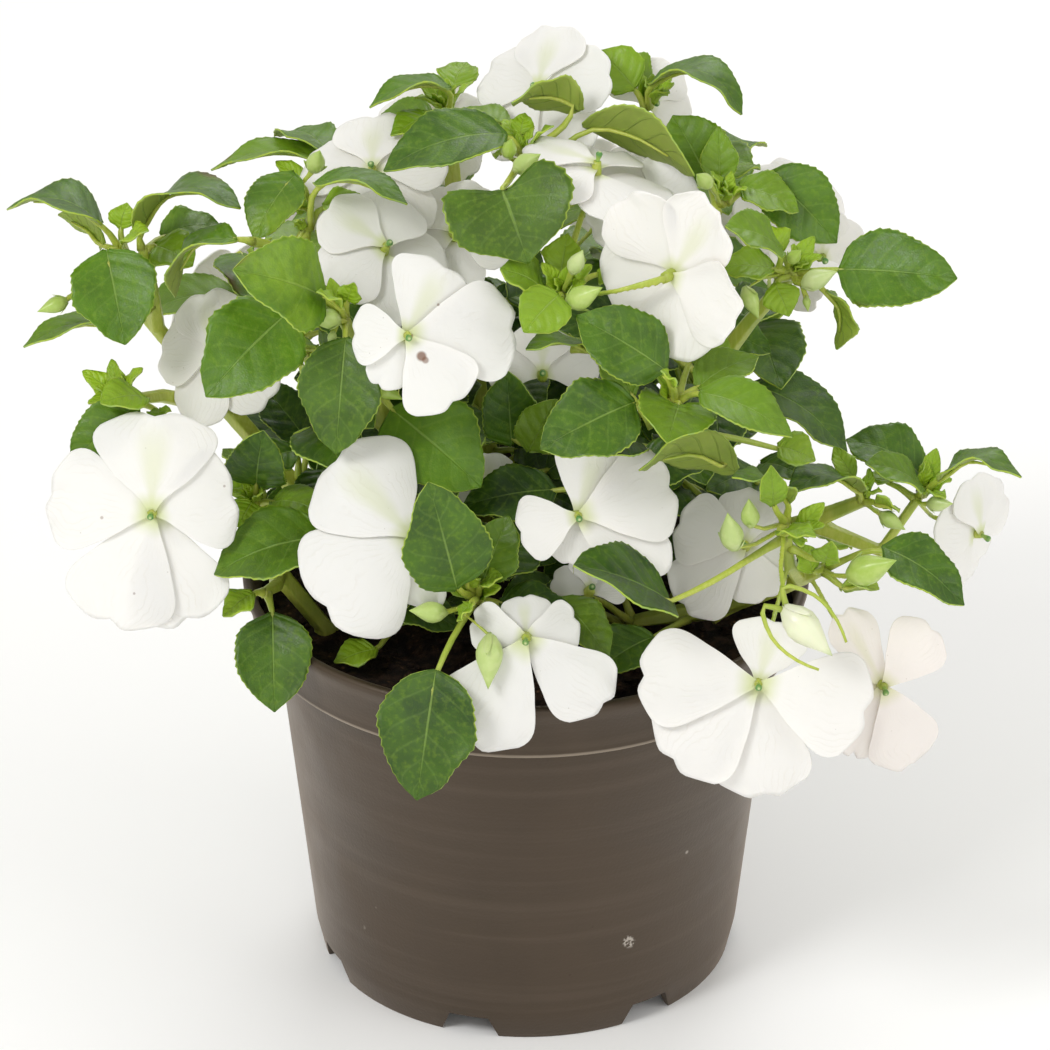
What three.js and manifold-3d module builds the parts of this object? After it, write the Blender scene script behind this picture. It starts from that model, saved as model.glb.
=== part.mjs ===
// Busy lizzie in its plastic nursery pot: pot, soil, leafy stems and white blooms.
// Millimetres, +Z up. The origin is under the middle of the pot, on the surface that it stands on.
import * as THREE from 'three';
import Module from 'manifold-3d';

const wasm = await Module();
wasm.setup();

// ------------------------------------------------------------------ the pot and its soil
const POT_HEIGHT = 90;
const RIM_RADIUS = 60;
const RIM_WIDTH = 2.2;
const BAND_BOTTOM = 76.5;
const BAND_RADIUS = 57.2;
const SHOULDER_RADIUS = 53.2;
const FOOT_HEIGHT = 6;
const WALL_FOOT_RADIUS = 45.6;
const FOOT_RADIUS = 44;
const POT_WALL = 1.1;
const FOOT_WALL = 1.6;
const BOSS_RADIUS = 6;
const POT_SIDES = 28;
const FEET = 7;
const FOOT_TURN = 10;
const FOOT_GAP_ANGLE = 14;
const FOOT_GAP_DEPTH = 8;
const FOOT_GAP_INSET = 0.5;
const FOOT_GAP_BELOW = 1;
const DRAIN_HOLE_RADIUS = 3.5;
const DRAIN_HOLE_SIDES = 5;
const DRAIN_RING_RADIUS = 26;
const CUT_MARGIN = 1;
const SOIL_TOP = 82;
const SOIL_LUMP = 1.2;
const SOIL_RINGS = 2;
const SOIL_SIDES = 20;
const GAP = 0.3;
const SOIL_CLEARANCE = 3 * GAP;

// ------------------------------------------------------------------ stems, leaves and petals
const STEM_SIDES = 5;
const STEM_FOOT_RADIUS = 3;
const STEM_TIP_RADIUS = 1.5;
const BRANCH_FOOT_RADIUS = 2.1;
const BRANCH_TIP_RADIUS = 1.2;
const STEM_RING_STEP = 20;
const NODE_SWELLING = 1.16;
const STEM_SOCKET_DEPTH = 18;
const STEM_STRAIGHT = 6;
const SOCKET_CLEARANCE = 1.4;
const SOCKET_SIDES = 6;
const EDGE_LEFT = 0.7;
const EDGE_RIGHT = 0.76;
const EDGE_TIP = 0.73;
const BLADE_MIDDLE = 0.8;
const STALK_THICKNESS = 1.2;
const STALK_HALF_WIDTH = 0.65;
const LEAF_CUP = 0.14;
const LEAF_WAVE = 0.35;
const TOOTH_DEPTH = 0.45;
const LEAF_SINUS = 0.03;
const PEDICEL_RADIUS = 0.75;
const CALYX_RADIUS = 1.5;
const PEDICEL_SIDES = 3;
const SPUR_RADIUS = 0.69;
const SPUR_TIP_RADIUS = 0.36;
const SPUR_LENGTH = 13;
const SPUR_SIDES = 3;
const BUD_SIDES = 5;
const BUD_SLENDERNESS = 0.27;
const BUD_LEAD = 2;
const BUD_STALK_RADIUS = 1;
const PETAL_PITCH = 1.3;
const PETAL_ROOT = 0.5;
const PETAL_ROOT_AT = 1.9;
const SMALL_BLOOM = 13.5;
const CORE_RADIUS = 2.6;
const CORE_SIDES = 5;
const SWEEP_REACH = 8;
const SWEEP_BLEND = 34;
const SWEEP_REST = 1e-6;
const SWEEP_STEPS = 6;
const FACE_WARP = 0.9;
const PETAL_CURL = -14;
const PETAL_OVERLAP = 100;
const CORE_COVER = 0.9;
const CALYX_GAP = 0.45;
const CALYX_LEAD = 5;
const STALK_TRIES = 40;
const STALK_SHORTEST = 4.5;
const LEAF_TRIES = 1600;
const SEAT_STEP = 9;
const SEAT_BELOW_TIP = 1.6;
const SEAT_DEPTH = 0.4;
const SEAT_LOWEST = 0.3;
const SEAT_PITCH = 0.04;
const BRANCH_THINNER = 0.75;
const STALK_RINGS = 2;
const WIDE_LEAF = 17;
const SMALL_LEAF = 9.5;
const FUSE_TOLERANCE = 0.03;
const STEM_FUSE_TOLERANCE = 0.1;
const SPUR_ROOT = 1.2;
const BUD_SEAT = 0.8;
const GOLDEN_ANGLE = 137.5;
const WHORL_STEP = 0.07;
const WHORL_LEAF = 25;
const WHORL_STALK = 7;
const WHORL_WIDTH = 0.7;
const WHORL_FIRST = 90;
const WHORL_SPREAD = 330;
const WHORL_RISE = 0.45;
const WHORL_FALL = 0.12;
const WHORL_DROOP = 0.55;
const WHORL_LEAN = 0.3;
const WHORL_ARCH = 0.12;
const FAR_STEM_KNEE = 8;
const SEED = 11;

// Along a bud: [share of the length, share of the full thickness].
const BUD_ROWS = [[0.28, 0.86], [0.6, 0.92]];
// Along a spur: [share of the length behind the bloom, share below it].
const SPUR_PATH = [[0, 0], [0.3, 0.25], [0.45, 0.6], [0.25, 1]];

const COLOURS = { pot: 0x4f443c, soil: 0x2a201a, green: 0x5c8a35, petal: 0xf6f4ee };
const ROUGHNESS = { pot: 0.45, soil: 0.95, green: 0.5, petal: 0.55 };

// ------------------------------------------------------------------ the slanted face
// Places on the plant are [across, up, back]: millimetres to the right of the pot's axis and up
// the plant's face as an eye meets it from in front, a little above level, and how far behind the
// pot's axis the place is.
const EYE_RISE = THREE.MathUtils.degToRad(28.9);
const EYE_DISTANCE = 1500;
const FACE_CENTRE = new THREE.Vector3(0, 0, 100);
const ACROSS = new THREE.Vector3(1, 0, 0);
const UPWARD = new THREE.Vector3(0, Math.sin(EYE_RISE), Math.cos(EYE_RISE));
const TOWARD = new THREE.Vector3(0, -Math.cos(EYE_RISE), Math.sin(EYE_RISE));

function spot([across, up, back]) {
  const rise = Math.sin(EYE_RISE);
  const near = (up * rise - back) / (Math.cos(EYE_RISE) + (up * rise) / EYE_DISTANCE);
  const scale = 1 - near / EYE_DISTANCE;
  return FACE_CENTRE.clone()
    .addScaledVector(ACROSS, across * scale)
    .addScaledVector(UPWARD, up * scale)
    .addScaledVector(TOWARD, near);
}

function direction([across, up, toward]) {
  return new THREE.Vector3()
    .addScaledVector(ACROSS, across)
    .addScaledVector(UPWARD, up)
    .addScaledVector(TOWARD, toward)
    .normalize();
}

// Which way a leaf's upper side looks.
const FACING = [0, 0.25, 1];
const HALF_UP = [0, 0.75, 0.7];
const UP = [0, 1, 0.3];
const BELOW = [0, 0.85, -0.55];
const SIDE_LEFT = [-1, 0.35, -0.25];
const SIDE_RIGHT = [1, 0.3, -0.3];

// Leaf outlines: [share of the length, share of the width to each side] at each row, with the
// low point of the edge between that row and the next.
const TOOTHED = {
  rows: [[0.14, 0.37], [0.45, 0.5], [0.76, 0.31]],
  notches: [[0.3, 0.475], [0.61, 0.425], [0.89, 0.155]],
};
const HEART = {
  rows: [[-0.18, 0.38], [0.24, 0.5], [0.66, 0.34]],
  notches: [[0.04, 0.485], [0.46, 0.45], [0.85, 0.18]],
};
const NARROW = { rows: [[0.2, 0.43], [0.62, 0.44]], notches: [[0.42, 0.49], [0.84, 0.23]] };
const PLAIN = { rows: [[0.22, 0.44], [0.64, 0.43]] };
const YOUNG = { rows: [[0.42, 0.5]] };

// Rows of a petal: [share of the length, share of the width to each side].
const PETAL_ROWS = [[0.38, 0.34], [0.72, 0.5], [0.97, 0.29]];
const SMALL_PETAL_ROWS = [[0.55, 0.48], [0.93, 0.36]];
const PETAL_NOTCH = 0.9;

// ------------------------------------------------------------------ ways to make room
// What is in another piece's way moves by the first of these that brings it clear.
const BLOOM_SIZES = [1, 0.93, 0.86, 0.78];
const BLOOM_SHIFTS = [0, 1.5, -1.5, 3, -3, 4.5, -4.5, 6, -6, 8, -8, 10, -10, 13, -13];
const STEM_SHIFTS = {
  trim: [0, 1],
  toward: [0, -2, 2, -4, 4, -7, 7, -10, 10, -14, 14, -18],
  aside: [0, 3, -3, 6, -6, 10, -10, 14, -14],
  aloft: [0, 4, -4, 8],
};
const TRIM_COST = 12;
const STALK_BENDS = [
  [0, 0], [3, 0], [-3, 0], [0, 3], [0, -3],
  [5, 5], [-5, 5], [5, -5], [-5, -5],
  [9, 0], [-9, 0], [0, 9], [0, -9],
];
const SPUR_TURNS = [0, 0.5, -0.5, 1, -1, 1.6, -1.6, 2.3, -2.3];
const BUD_SHIFTS = [0, 2, -2, 4, -4, 6, -6, 9, -9, 12];
const LEAF_SHIFTS = {
  size: [1, 0.9, 0.8, 0.7, 0.6],
  turn: [0, 8, -8, 16, -16, 26, -26, 38, -38],
  lift: [0, 2, -2, 5, -5, 8, -8, 12, -12],
  shift: [0, 2, -2, 5, -5],
  lower: [0, 1],
};
const LEAF_COSTS = { size: 9, turn: 1 / 7, lift: 1 / 4, shift: 1 / 3, lower: 0.8 };

// ------------------------------------------------------------------ the leafy stems
// root: where it stands in the soil. path: where the stem runs. branches: side stems.
// leaves: [base, tip, width, upper side looks, arch, outline]. buds: [base, tip].
const STEMS = {
  far_left: {
    root: [-34, -2],
    path: [[-50, 8.5, -5], [-58, 20, -3], [-76, 38.5, 0], [-82.5, 48.5, 2], [-85.5, 59, 4]],
    branches: [
      [[-62, 24.5, -4], [-71, 28, -10], [-78, 26, -16]],
      [[-77, 40, 0], [-79, 50.5, 5], [-81, 59, 8]],
    ],
    leaves: [
      [[-89.5, 63.5, 5], [-109.5, 66.5, 8], 19, UP, 0.2, TOOTHED],
      [[-82.5, 61, 8], [-61, 66.5, 2], 20, UP, 0.3, TOOTHED],
      [[-88.5, 58, -2], [-84.5, 38, -15], 18, FACING, 0.08, TOOTHED],
      [[-88.5, 58.5, 4], [-98, 65, 12], 10, BELOW, 0.1, PLAIN],
      [[-80, 60, 10], [-72, 55.5, 5], 12, HALF_UP, 0.1, PLAIN],
      [[-77, 61, 14], [-63, 62, 20], 11, HALF_UP, 0.15, PLAIN],
      [[-83.5, 41.5, 0], [-106, 37.5, -5], 12, UP, 0.14, PLAIN],
      [[-86, 61, 8], [-84.5, 66.5, 10], 6, HALF_UP, 0.1, YOUNG],
      [[-85, 60, 0], [-79.5, 62, -3], 6, HALF_UP, 0.1, YOUNG],
      [[-82, 25.5, -22], [-96, 13, -27], 11, FACING, 0.1, PLAIN],
      [[-80, 27, -18], [-89, 25.5, -16], 10, HALF_UP, 0.1, PLAIN],
      [[-77.5, 24.5, -18], [-77.5, 22, -22], 5, FACING, 0.1, YOUNG],
    ],
    buds: [
      [[-96.5, 47.5, -6], [-103, 45, -9]],
    ],
  },
  low_left: {
    root: [-43, -14],
    path: [[-54.5, -7.5, -16], [-57, -1.5, -17], [-57, 5.5, -18]],
    branches: [[[-52, -9.5, -16], [-53, -13.5, -26], [-55.5, -14.5, -31]]],
    leaves: [
      [[-57, 7.5, -18], [-55.5, 19, -24], 13, FACING, 0.1, PLAIN],
      [[-54.5, 7, -14], [-63.5, 15.5, -6], 10, UP, 0.1, PLAIN],
      [[-57.5, 5.5, -21], [-60.5, 0, -26], 9, FACING, 0.1, PLAIN],
      [[-55.5, 5.5, -19], [-44.5, 2.5, -27], 10, HALF_UP, 0.12, PLAIN],
      [[-57, -14, -33], [-63.5, -19, -37], 8, HALF_UP, 0.1, PLAIN],
      [[-53.5, -16.5, -32], [-53, -37.5, -42], 16, FACING, 0.08, TOOTHED],
    ],
    buds: [],
  },
  left_of_middle: {
    root: [-20, -10],
    path: [[-28.5, 18, -18], [-31, 29.5, -24], [-35, 38, -27], [-39, 44.5, -28]],
    branches: [
      [[-26.5, 5.5, -14], [-35, -3, -22], [-40.5, -1.5, -28]],
      [[-29, 20, -20], [-41.5, 27.5, -14], [-47.5, 30, -12]],
    ],
    leaves: [
      [[-42.5, 48, -32], [-61.5, 53.5, -38], 19, FACING, 0.1, TOOTHED],
      [[-50, 45, -28], [-67.5, 27, -42], 20, FACING, 0.1, TOOTHED],
      [[-38, 39.5, -34], [-40, 15, -44], 17, FACING, 0.1, TOOTHED],
      [[-28.5, 24.5, -32], [-9.5, 8, -44], 21, FACING, 0.08, TOOTHED],
      [[-39, 46, -30], [-44, 49, -34], 5, HALF_UP, 0.1, YOUNG],
      [[-38, 46.5, -29], [-36.5, 50.5, -30], 5, FACING, 0.1, YOUNG],
      [[-44, 37.5, -18], [-56, 34, -14], 9, UP, 0.15, PLAIN],
      [[-44, 20.5, -16], [-46, 14.5, -18], 8, BELOW, 0.1, PLAIN],
      [[-42, -2.5, -32], [-65.5, -10.5, -36], 20, HALF_UP, 0.1, TOOTHED],
      [[-31.5, -26, -30], [-40.5, -29, -33], 9, HALF_UP, 0.05, PLAIN],
    ],
    buds: [
      [[-39, 43, -32], [-46, 44.5, -36]],
      [[-32.5, 30, -30], [-26, 26.5, -34]],
      [[-40.5, 41, -33], [-41.5, 37.5, -36]],
    ],
  },
  upper_left: {
    root: [-20, 14],
    path: [[-27.5, 30.5, 10], [-37, 51.5, 8], [-44, 65.5, 8], [-46, 73, 11]],
    branches: [[[-38, 53.5, 6], [-50, 58, -4], [-58, 60, -8]]],
    leaves: [
      [[-43, 77.5, 16], [-67, 75.5, 12], 15, UP, 0.12, TOOTHED],
      [[-41.5, 78.5, 20], [-56.5, 81, 26], 12, UP, 0.12, PLAIN],
      [[-48.5, 74, 8], [-60.5, 62, 0], 12, HALF_UP, 0.1, PLAIN],
      [[-44.5, 72, -2], [-25, 67.5, -10], 13, UP, 0.14, TOOTHED],
      [[-45, 66.5, 2], [-52.5, 67.5, 4], 9, BELOW, 0.1, PLAIN],
      [[-43, 67.5, -1], [-32, 65, -8], 10, HALF_UP, 0.1, PLAIN],
      [[-61, 60.5, -10], [-74, 48, -4], 14, SIDE_LEFT, 0.25, PLAIN],
    ],
    buds: [
      [[-45, 74.5, 6], [-43.5, 79, 2]],
    ],
  },
  top_left_back: {
    root: [-7, 26],
    path: [[-12, 41, 30], [-15, 68.5, 30], [-16.5, 87.5, 30]],
    branches: [],
    leaves: [
      [[-16, 92.5, 22], [-33, 88, 20], 13, UP, 0.15, TOOTHED],
      [[-20, 87, 34], [-32.5, 83, 40], 10, HALF_UP, 0.1, PLAIN],
      [[-19.5, 86, 22], [-28.5, 82, 16], 9, HALF_UP, 0.1, PLAIN],
      [[-15.5, 92, 36], [-12.5, 97.5, 46], 9, UP, 0.1, PLAIN],
    ],
    buds: [],
  },
  top: {
    root: [-2, 9],
    path: [[-4.5, 41, 4], [-5.5, 58, 2], [-4.5, 70.5, 2], [-3, 79, 3]],
    branches: [],
    leaves: [
      [[-4, 82.5, -1], [-23, 68, -20], 17, HALF_UP, 0.12, TOOTHED],
      [[-5, 70.5, -20], [0.5, 55, -26], 27, FACING, 0.05, HEART],
      [[11.5, 87.5, 12], [-3, 89, 4], 12, BELOW, 0.18, TOOTHED],
      [[12, 84.5, 4], [35.5, 73.5, -3], 16, BELOW, 0.12, TOOTHED],
      [[-4, 84.5, 12], [-15.5, 86.5, 20], 10, UP, 0.1, PLAIN],
      [[-1.5, 81, 4], [-0.5, 85.5, 8], 5, HALF_UP, 0.1, YOUNG],
      [[-3.5, 81, -3], [-6.5, 78, -8], 5, HALF_UP, 0.1, YOUNG],
    ],
    buds: [
      [[-2.5, 74.5, -8], [3, 78, -12]],
      [[-4, 77.5, -6], [-3, 81.5, -9]],
    ],
  },
  top_right: {
    root: [14, 20],
    path: [[24, 35, 12], [36.5, 58, 4], [40, 68.5, 1]],
    branches: [[[28.5, 45.5, 10], [27.5, 70.5, 24], [25.5, 89, 26]]],
    leaves: [
      [[51, 74, 12], [65.5, 59.5, 6], 15, FACING, 0.12, TOOTHED],
      [[26, 93, 22], [45.5, 86.5, 14], 17, UP, 0.3, TOOTHED],
      [[23, 92, 24], [15.5, 100, 30], 11, FACING, 0.1, PLAIN],
      [[25.5, 93, 32], [18, 100, 42], 9, HALF_UP, 0.1, PLAIN],
      [[38.5, 73, 10], [31, 86.5, 16], 15, FACING, 0.08, TOOTHED],
      [[41, 71.5, 6], [40.5, 84, 12], 8, FACING, 0.05, PLAIN],
      [[45, 71.5, 5], [57.5, 66, 2], 11, HALF_UP, 0.1, PLAIN],
      [[42.5, 73.5, 10], [48.5, 76, 20], 9, UP, 0.1, PLAIN],
    ],
    buds: [
      [[39, 71.5, -5], [36, 74, -9]],
    ],
  },
  upper_right: {
    root: [26, 10],
    path: [[32.5, 22, 4], [44, 39, -2], [53, 49.5, -8], [57, 54, -10]],
    branches: [],
    leaves: [
      [[66, 54, -14], [91, 52, -22], 17, FACING, 0.06, TOOTHED],
      [[54, 58, -14], [42, 63, -18], 13, HALF_UP, 0.1, TOOTHED],
      [[52.5, 54, -12], [41.5, 54, -10], 10, HALF_UP, 0.1, PLAIN],
      [[63.5, 49.5, -15], [65.5, 37, -16], 10, SIDE_RIGHT, 0.2, PLAIN],
      [[52.5, 51, -14], [55.5, 44, -18], 8, FACING, 0.1, PLAIN],
      [[55.5, 55.5, -8], [51.5, 61, -4], 8, HALF_UP, 0.1, PLAIN],
    ],
    buds: [
      [[58, 50.5, -16], [65.5, 53.5, -19]],
      [[55.5, 55.5, -12], [58, 58, -15]],
      [[46, 50.5, -18], [49, 43.5, -22]],
      [[59, 48.5, -15], [59.5, 45, -17]],
    ],
  },
  middle: {
    root: [8, -9],
    path: [[15.5, 5.5, -22], [24, 16, -34], [30, 23, -40], [32.5, 27, -41]],
    branches: [[[15, 4, -20], [10.5, 26.5, -22], [8.5, 41, -25], [7, 49, -27]]],
    leaves: [
      [[34, 28, -40], [47, 34.5, -34], 11, HALF_UP, 0.1, TOOTHED],
      [[23, 26, -45], [3, 16, -55], 17, FACING, 0.08, TOOTHED],
      [[29.5, 32.5, -38], [10.5, 44, -34], 15, FACING, 0.08, TOOTHED],
      [[32.5, 26, -44], [30, 18, -56], 16, FACING, 0.05, HEART],
      [[36.5, 28, -42], [56, 18.5, -48], 13, HALF_UP, 0.1, TOOTHED],
      [[44.5, 11.5, -40], [21.5, 11.5, -50], 15, BELOW, 0.2, TOOTHED],
      [[-3, 17, -14], [-4, 32.5, -12], 12, FACING, 0.05, PLAIN],
      [[0.5, 15.5, -20], [6.5, 26.5, -20], 10, FACING, 0.05, PLAIN],
      [[14.5, 36.5, -26], [0, 37, -32], 11, UP, 0.15, TOOTHED],
      [[22.5, 27, -32], [16.5, 40.5, -26], 9, FACING, 0.08, PLAIN],
      [[4, 49.5, -29], [-5.5, 54, -30], 12, HALF_UP, 0.1, PLAIN],
      [[7, 48.5, -31], [-0.5, 40.5, -38], 11, FACING, 0.1, TOOTHED],
      [[7, 51, -24], [8.5, 60, -18], 9, FACING, 0.05, PLAIN],
      [[12.5, 68.5, -2], [18.5, 67.5, -6], 9, HALF_UP, 0.1, PLAIN],
      [[34.5, 34.5, -34], [42, 40.5, -28], 12, FACING, 0.05, PLAIN],
      [[15, 53.5, -22], [20, 51.5, -24], 7, HALF_UP, 0.1, PLAIN],
      [[31, 29.5, -46], [28.5, 32.5, -48], 5, HALF_UP, 0.1, YOUNG],
      [[53, 16.5, -30], [61, 13.5, -32], 10, HALF_UP, 0.1, PLAIN],
    ],
    buds: [
      [[8.5, 46.5, -33], [16, 50, -37]],
      [[9.5, 53, -30], [12, 58, -32]],
    ],
  },
  front: {
    root: [-11, -18],
    path: [[-5.5, -24.5, -34], [-8.5, -18.5, -42], [-11, -14.5, -46]],
    branches: [],
    leaves: [
      [[-14.5, -13.5, -50], [-20.5, 9, -46], 18, FACING, 0.06, TOOTHED],
      [[-9.5, -13, -47], [-4, 1, -42], 11, FACING, 0.08, PLAIN],
      [[-7, -16, -51], [12, -22, -58], 14, HALF_UP, 0.1, TOOTHED],
      [[7, -16, -46], [17.5, -28.5, -56], 11, HALF_UP, 0.1, TOOTHED],
      [[-19, -30.5, -64], [-23, -58, -72], 20, FACING, 0.05, TOOTHED],
      [[-11.5, -16.5, -54], [-16.5, -23, -60], 8, HALF_UP, 0.1, PLAIN],
      [[-12, -13, -49], [-13, -10, -52], 5, HALF_UP, 0.1, YOUNG],
      [[-9.5, -12.5, -49], [-5, -11, -52], 5, HALF_UP, 0.1, YOUNG],
    ],
    buds: [
      [[-7.5, -22.5, -60], [-8, -34.5, -66]],
      [[-16.5, -18.5, -50], [-24.5, -18, -54]],
    ],
  },
  low_right: {
    root: [23, -13],
    path: [[35, -18.5, -26], [49.5, -14.5, -36], [60.5, -11.5, -42], [63.5, -9, -43]],
    branches: [[[48.5, -15, -35], [49.5, -7.5, -39], [50.5, 1.5, -42]]],
    leaves: [
      [[55.5, 5, -44], [43.5, 10, -50], 10, UP, 0.15, TOOTHED],
      [[52, 4, -46], [51.5, 12.5, -48], 6, FACING, 0.1, YOUNG],
      [[53, -1.5, -46], [61, -2.5, -52], 8, UP, 0.1, PLAIN],
      [[75, -4.5, -40], [92.5, -17, -48], 14, HALF_UP, 0.1, TOOTHED],
      [[31, -16.5, -52], [10, -8.5, -62], 20, HALF_UP, 0.06, TOOTHED],
      [[63, -8, -45], [64.5, -3.5, -48], 6, FACING, 0.1, YOUNG],
      [[60.5, -10, -40], [58, -4, -38], 7, HALF_UP, 0.1, PLAIN],
      [[66.5, -13, -40], [74.5, -13.5, -36], 9, BELOW, 0.1, PLAIN],
    ],
    buds: [
      [[44, -5.5, -48], [42.5, 2.5, -50]],
      [[47.5, -0.5, -46], [47, 5.5, -48]],
      [[67.5, -11, -45], [78, -7.5, -50]],
      [[54, -17, -64], [64.5, -27.5, -70]],
    ],
  },
  right: {
    root: [33, 3],
    path: [[58, 0, -14], [66.5, 3.5, -20], [72, 5.5, -23]],
    branches: [[[60.5, 1, -14], [74.5, -5.5, -22], [81.5, -0.5, -20], [84, 7.5, -15]]],
    leaves: [
      [[71, 7, -26], [55.5, 6.5, -34], 14, UP, 0.22, TOOTHED],
      [[73, 5, -26], [77.5, 3.5, -30], 8, BELOW, 0.1, PLAIN],
      [[69, 10, -22], [65, 16.5, -18], 5, FACING, 0.05, YOUNG],
      [[84.5, 10, -14], [68.5, 17.5, -8], 15, HALF_UP, 0.14, TOOTHED],
      [[83.5, 8, -18], [71.5, 13, -22], 10, HALF_UP, 0.1, PLAIN],
      [[87, 9.5, -20], [104.5, 10, -26], 13, UP, 0.25, TOOTHED],
      [[62, -2, -12], [68, -4, -8], 10, HALF_UP, 0.1, PLAIN],
      [[77, 9, -14], [72, 11, -8], 6, HALF_UP, 0.1, YOUNG],
    ],
    buds: [
      [[74.5, 2.5, -26], [80, -1, -30]],
      [[84.5, 4.5, -19], [90, 4.5, -23]],
    ],
  },
};

// Stems that fill the far side: [root, crown of the stem in the pot's own frame, leaves].
const FAR_STEMS = {
  far_side_left: [[-26, 22], [-62, 44, 142], 5],
  far_side_middle: [[-9, 38], [-24, 66, 160], 5],
  far_side_right: [[14, 34], [34, 62, 158], 5],
  right_rear: [[33, 20], [46, 58, 118], 5],
  far_side_low: [[3, 46], [6, 78, 122], 5],
};

// ------------------------------------------------------------------ the blooms
// eye: the middle of the flower. looks: which way it faces. petals, the front one first:
// [angle on the flower's face, length, width, sweep forward (+) or back (-)].
const BLOOMS = [
  {
    name: 'front_left', eye: [-79, 2.5, -38], looks: [-0.12, -0.05, 1],
    petals: [[88, 22, 26, 0], [170, 24, 21, 0], [12, 19, 21, -12], [248, 27, 24, 4], [287, 27, 22, -8]],
  },
  {
    name: 'front_foot', eye: [0, -24, -60], looks: [0, -0.2, 1],
    petals: [[242, 27, 22, 0], [318, 24, 17, -4], [20, 13, 12, -20], [165, 14, 11, -30], [95, 12, 12, -40]],
  },
  {
    name: 'front_right', eye: [49, -33.5, -62], looks: [0, 0, 1],
    petals: [[176, 26, 20, 0], [222, 26, 22, 0], [345, 25, 22, -4], [75, 15, 16, -12], [274, 27, 20, -12]],
  },
  {
    name: 'right_low', eye: [75.5, -34, -50], looks: [0.25, -0.1, 1],
    petals: [[48, 17, 14, 0], [118, 19, 11, -10], [297, 25, 18, -28], [258, 22, 10, -38], [195, 14, 12, -30]],
  },
  {
    name: 'front_middle_left', eye: [-23.5, -2.5, -54], looks: [-0.2, 0, 1],
    petals: [[137, 25, 26, 0], [217, 27, 29, 0], [278, 21, 11, -38], [345, 16, 14, -70], [58, 17, 14, -66]],
  },
  {
    name: 'middle_right', eye: [11, 2, -47], looks: [0.1, 0.1, 1],
    petals: [[196, 13.5, 14, -12], [18, 22, 20, 0], [72, 17, 17, 0], [325, 24, 15, -4], [262, 12, 9, -25]],
  },
  {
    name: 'middle_right_behind', eye: [46, -4, -30], looks: [-0.2, 0.2, 1],
    petals: [[160, 16, 16, 0], [222, 20, 16, -5], [80, 15, 15, -20], [290, 14, 13, -20], [10, 14, 14, -30]],
  },
  {
    name: 'upper_middle', eye: [-25, 40, -42], looks: [0.25, 0.1, 1],
    petals: [[306, 18, 17, 0], [178, 12, 13, -25], [6, 25, 21, 0], [60, 19, 20, 0], [242, 13, 9, -20]],
  },
  { name: 'upper_left_middle', eye: [-29.5, 59, -12], looks: [0.25, 0.5, 0.8], top: 150, size: 17 },
  { name: 'left_upper', eye: [-66, 36.5, -4], looks: [-0.4, 0.2, 0.9], top: 100, size: 15.5 },
  { name: 'top_left', eye: [-32.5, 75.5, 6], looks: [-0.1, 0.6, 0.8], top: 90, size: 17 },
  { name: 'top', eye: [2.5, 92.5, 20], looks: [-0.4, 0.4, 0.8], top: 75, size: 17 },
  { name: 'top_middle', eye: [15, 76.5, -8], looks: [0.1, 0.9, 0.45], top: 150, size: 18 },
  { name: 'top_right', eye: [27, 67.5, -2], looks: [0.3, 0.4, 0.85], top: 60, size: 14 },
  { name: 'right_upper', eye: [32, 53.5, -26], looks: [0.45, 0.3, -0.75], top: 160, size: 20 },
  { name: 'middle_upper', eye: [-15, 63, -2], looks: [0.1, 0.5, 0.85], top: 60, size: 14 },
  { name: 'far_right', eye: [96, -2, -8], looks: [0.7, -0.15, 0.55], top: 100, size: 15 },
  { name: 'right_rear_upper', eye: [57.5, 65, 26], looks: [0.4, 0.3, 0.85], top: 120, size: 15.5 },
  { name: 'right_rear', eye: [62.5, 56.5, 8], looks: [0.2, -0.2, 0.95], top: 90, size: 12 },
  { name: 'rear_left', eye: [-20.5, 84.5, 36], looks: [-0.2, 0.5, 0.85], top: 90, size: 14 },
  { name: 'rear_top', eye: [26.5, 89, 32], looks: [0.4, 0.2, 0.85], top: 60, size: 12 },
  { name: 'inner_left', eye: [-8, 6, -24], looks: [0, 0.2, 1], top: 90, size: 11 },
  { name: 'inner_upper', eye: [3.5, 32, -12], looks: [0, 0.2, 1], top: 90, size: 13 },
  { name: 'inner_right', eye: [13.5, -13.5, -34], looks: [0.1, 0.4, 0.9], top: 90, size: 9 },
];

// Blooms of the far side: [eye in the pot's own frame, the way it looks, size].
const FAR_BLOOMS = [
  [[-66, 58, 128], [-0.7, 0.8, 0.3], 18],
  [[-38, 84, 136], [-0.3, 1, 0.45], 18],
  [[20, 84, 140], [0.1, 1, 0.2], 18],
  [[52, 66, 132], [0.6, 0.9, 0.4], 18],
];

// ------------------------------------------------------------------ solids
function randomFrom(seed) {
  let state = seed;
  return () => {
    state = (state * 1664525 + 1013904223) % 4294967296;
    return state / 4294967296;
  };
}

function solid(points, triangles) {
  const vertProperties = new Float32Array(points.flatMap((p) => [p.x, p.y, p.z]));
  const triVerts = new Uint32Array(triangles.flat());
  return new wasm.Manifold(new wasm.Mesh({ numProp: 3, vertProperties, triVerts }));
}

function joined(solids) {
  let whole = solids[0];
  for (const next of solids.slice(1)) {
    whole = whole.add(next);
  }
  return whole;
}

// Fusing leaves specks and slivers: specks are dropped, and corners closer than the tolerance merge.
function largestBody(whole, tolerance) {
  const bodies = whole.simplify(tolerance).decompose();
  return bodies.reduce((best, body) => (body.volume() > best.volume() ? body : best));
}

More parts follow.
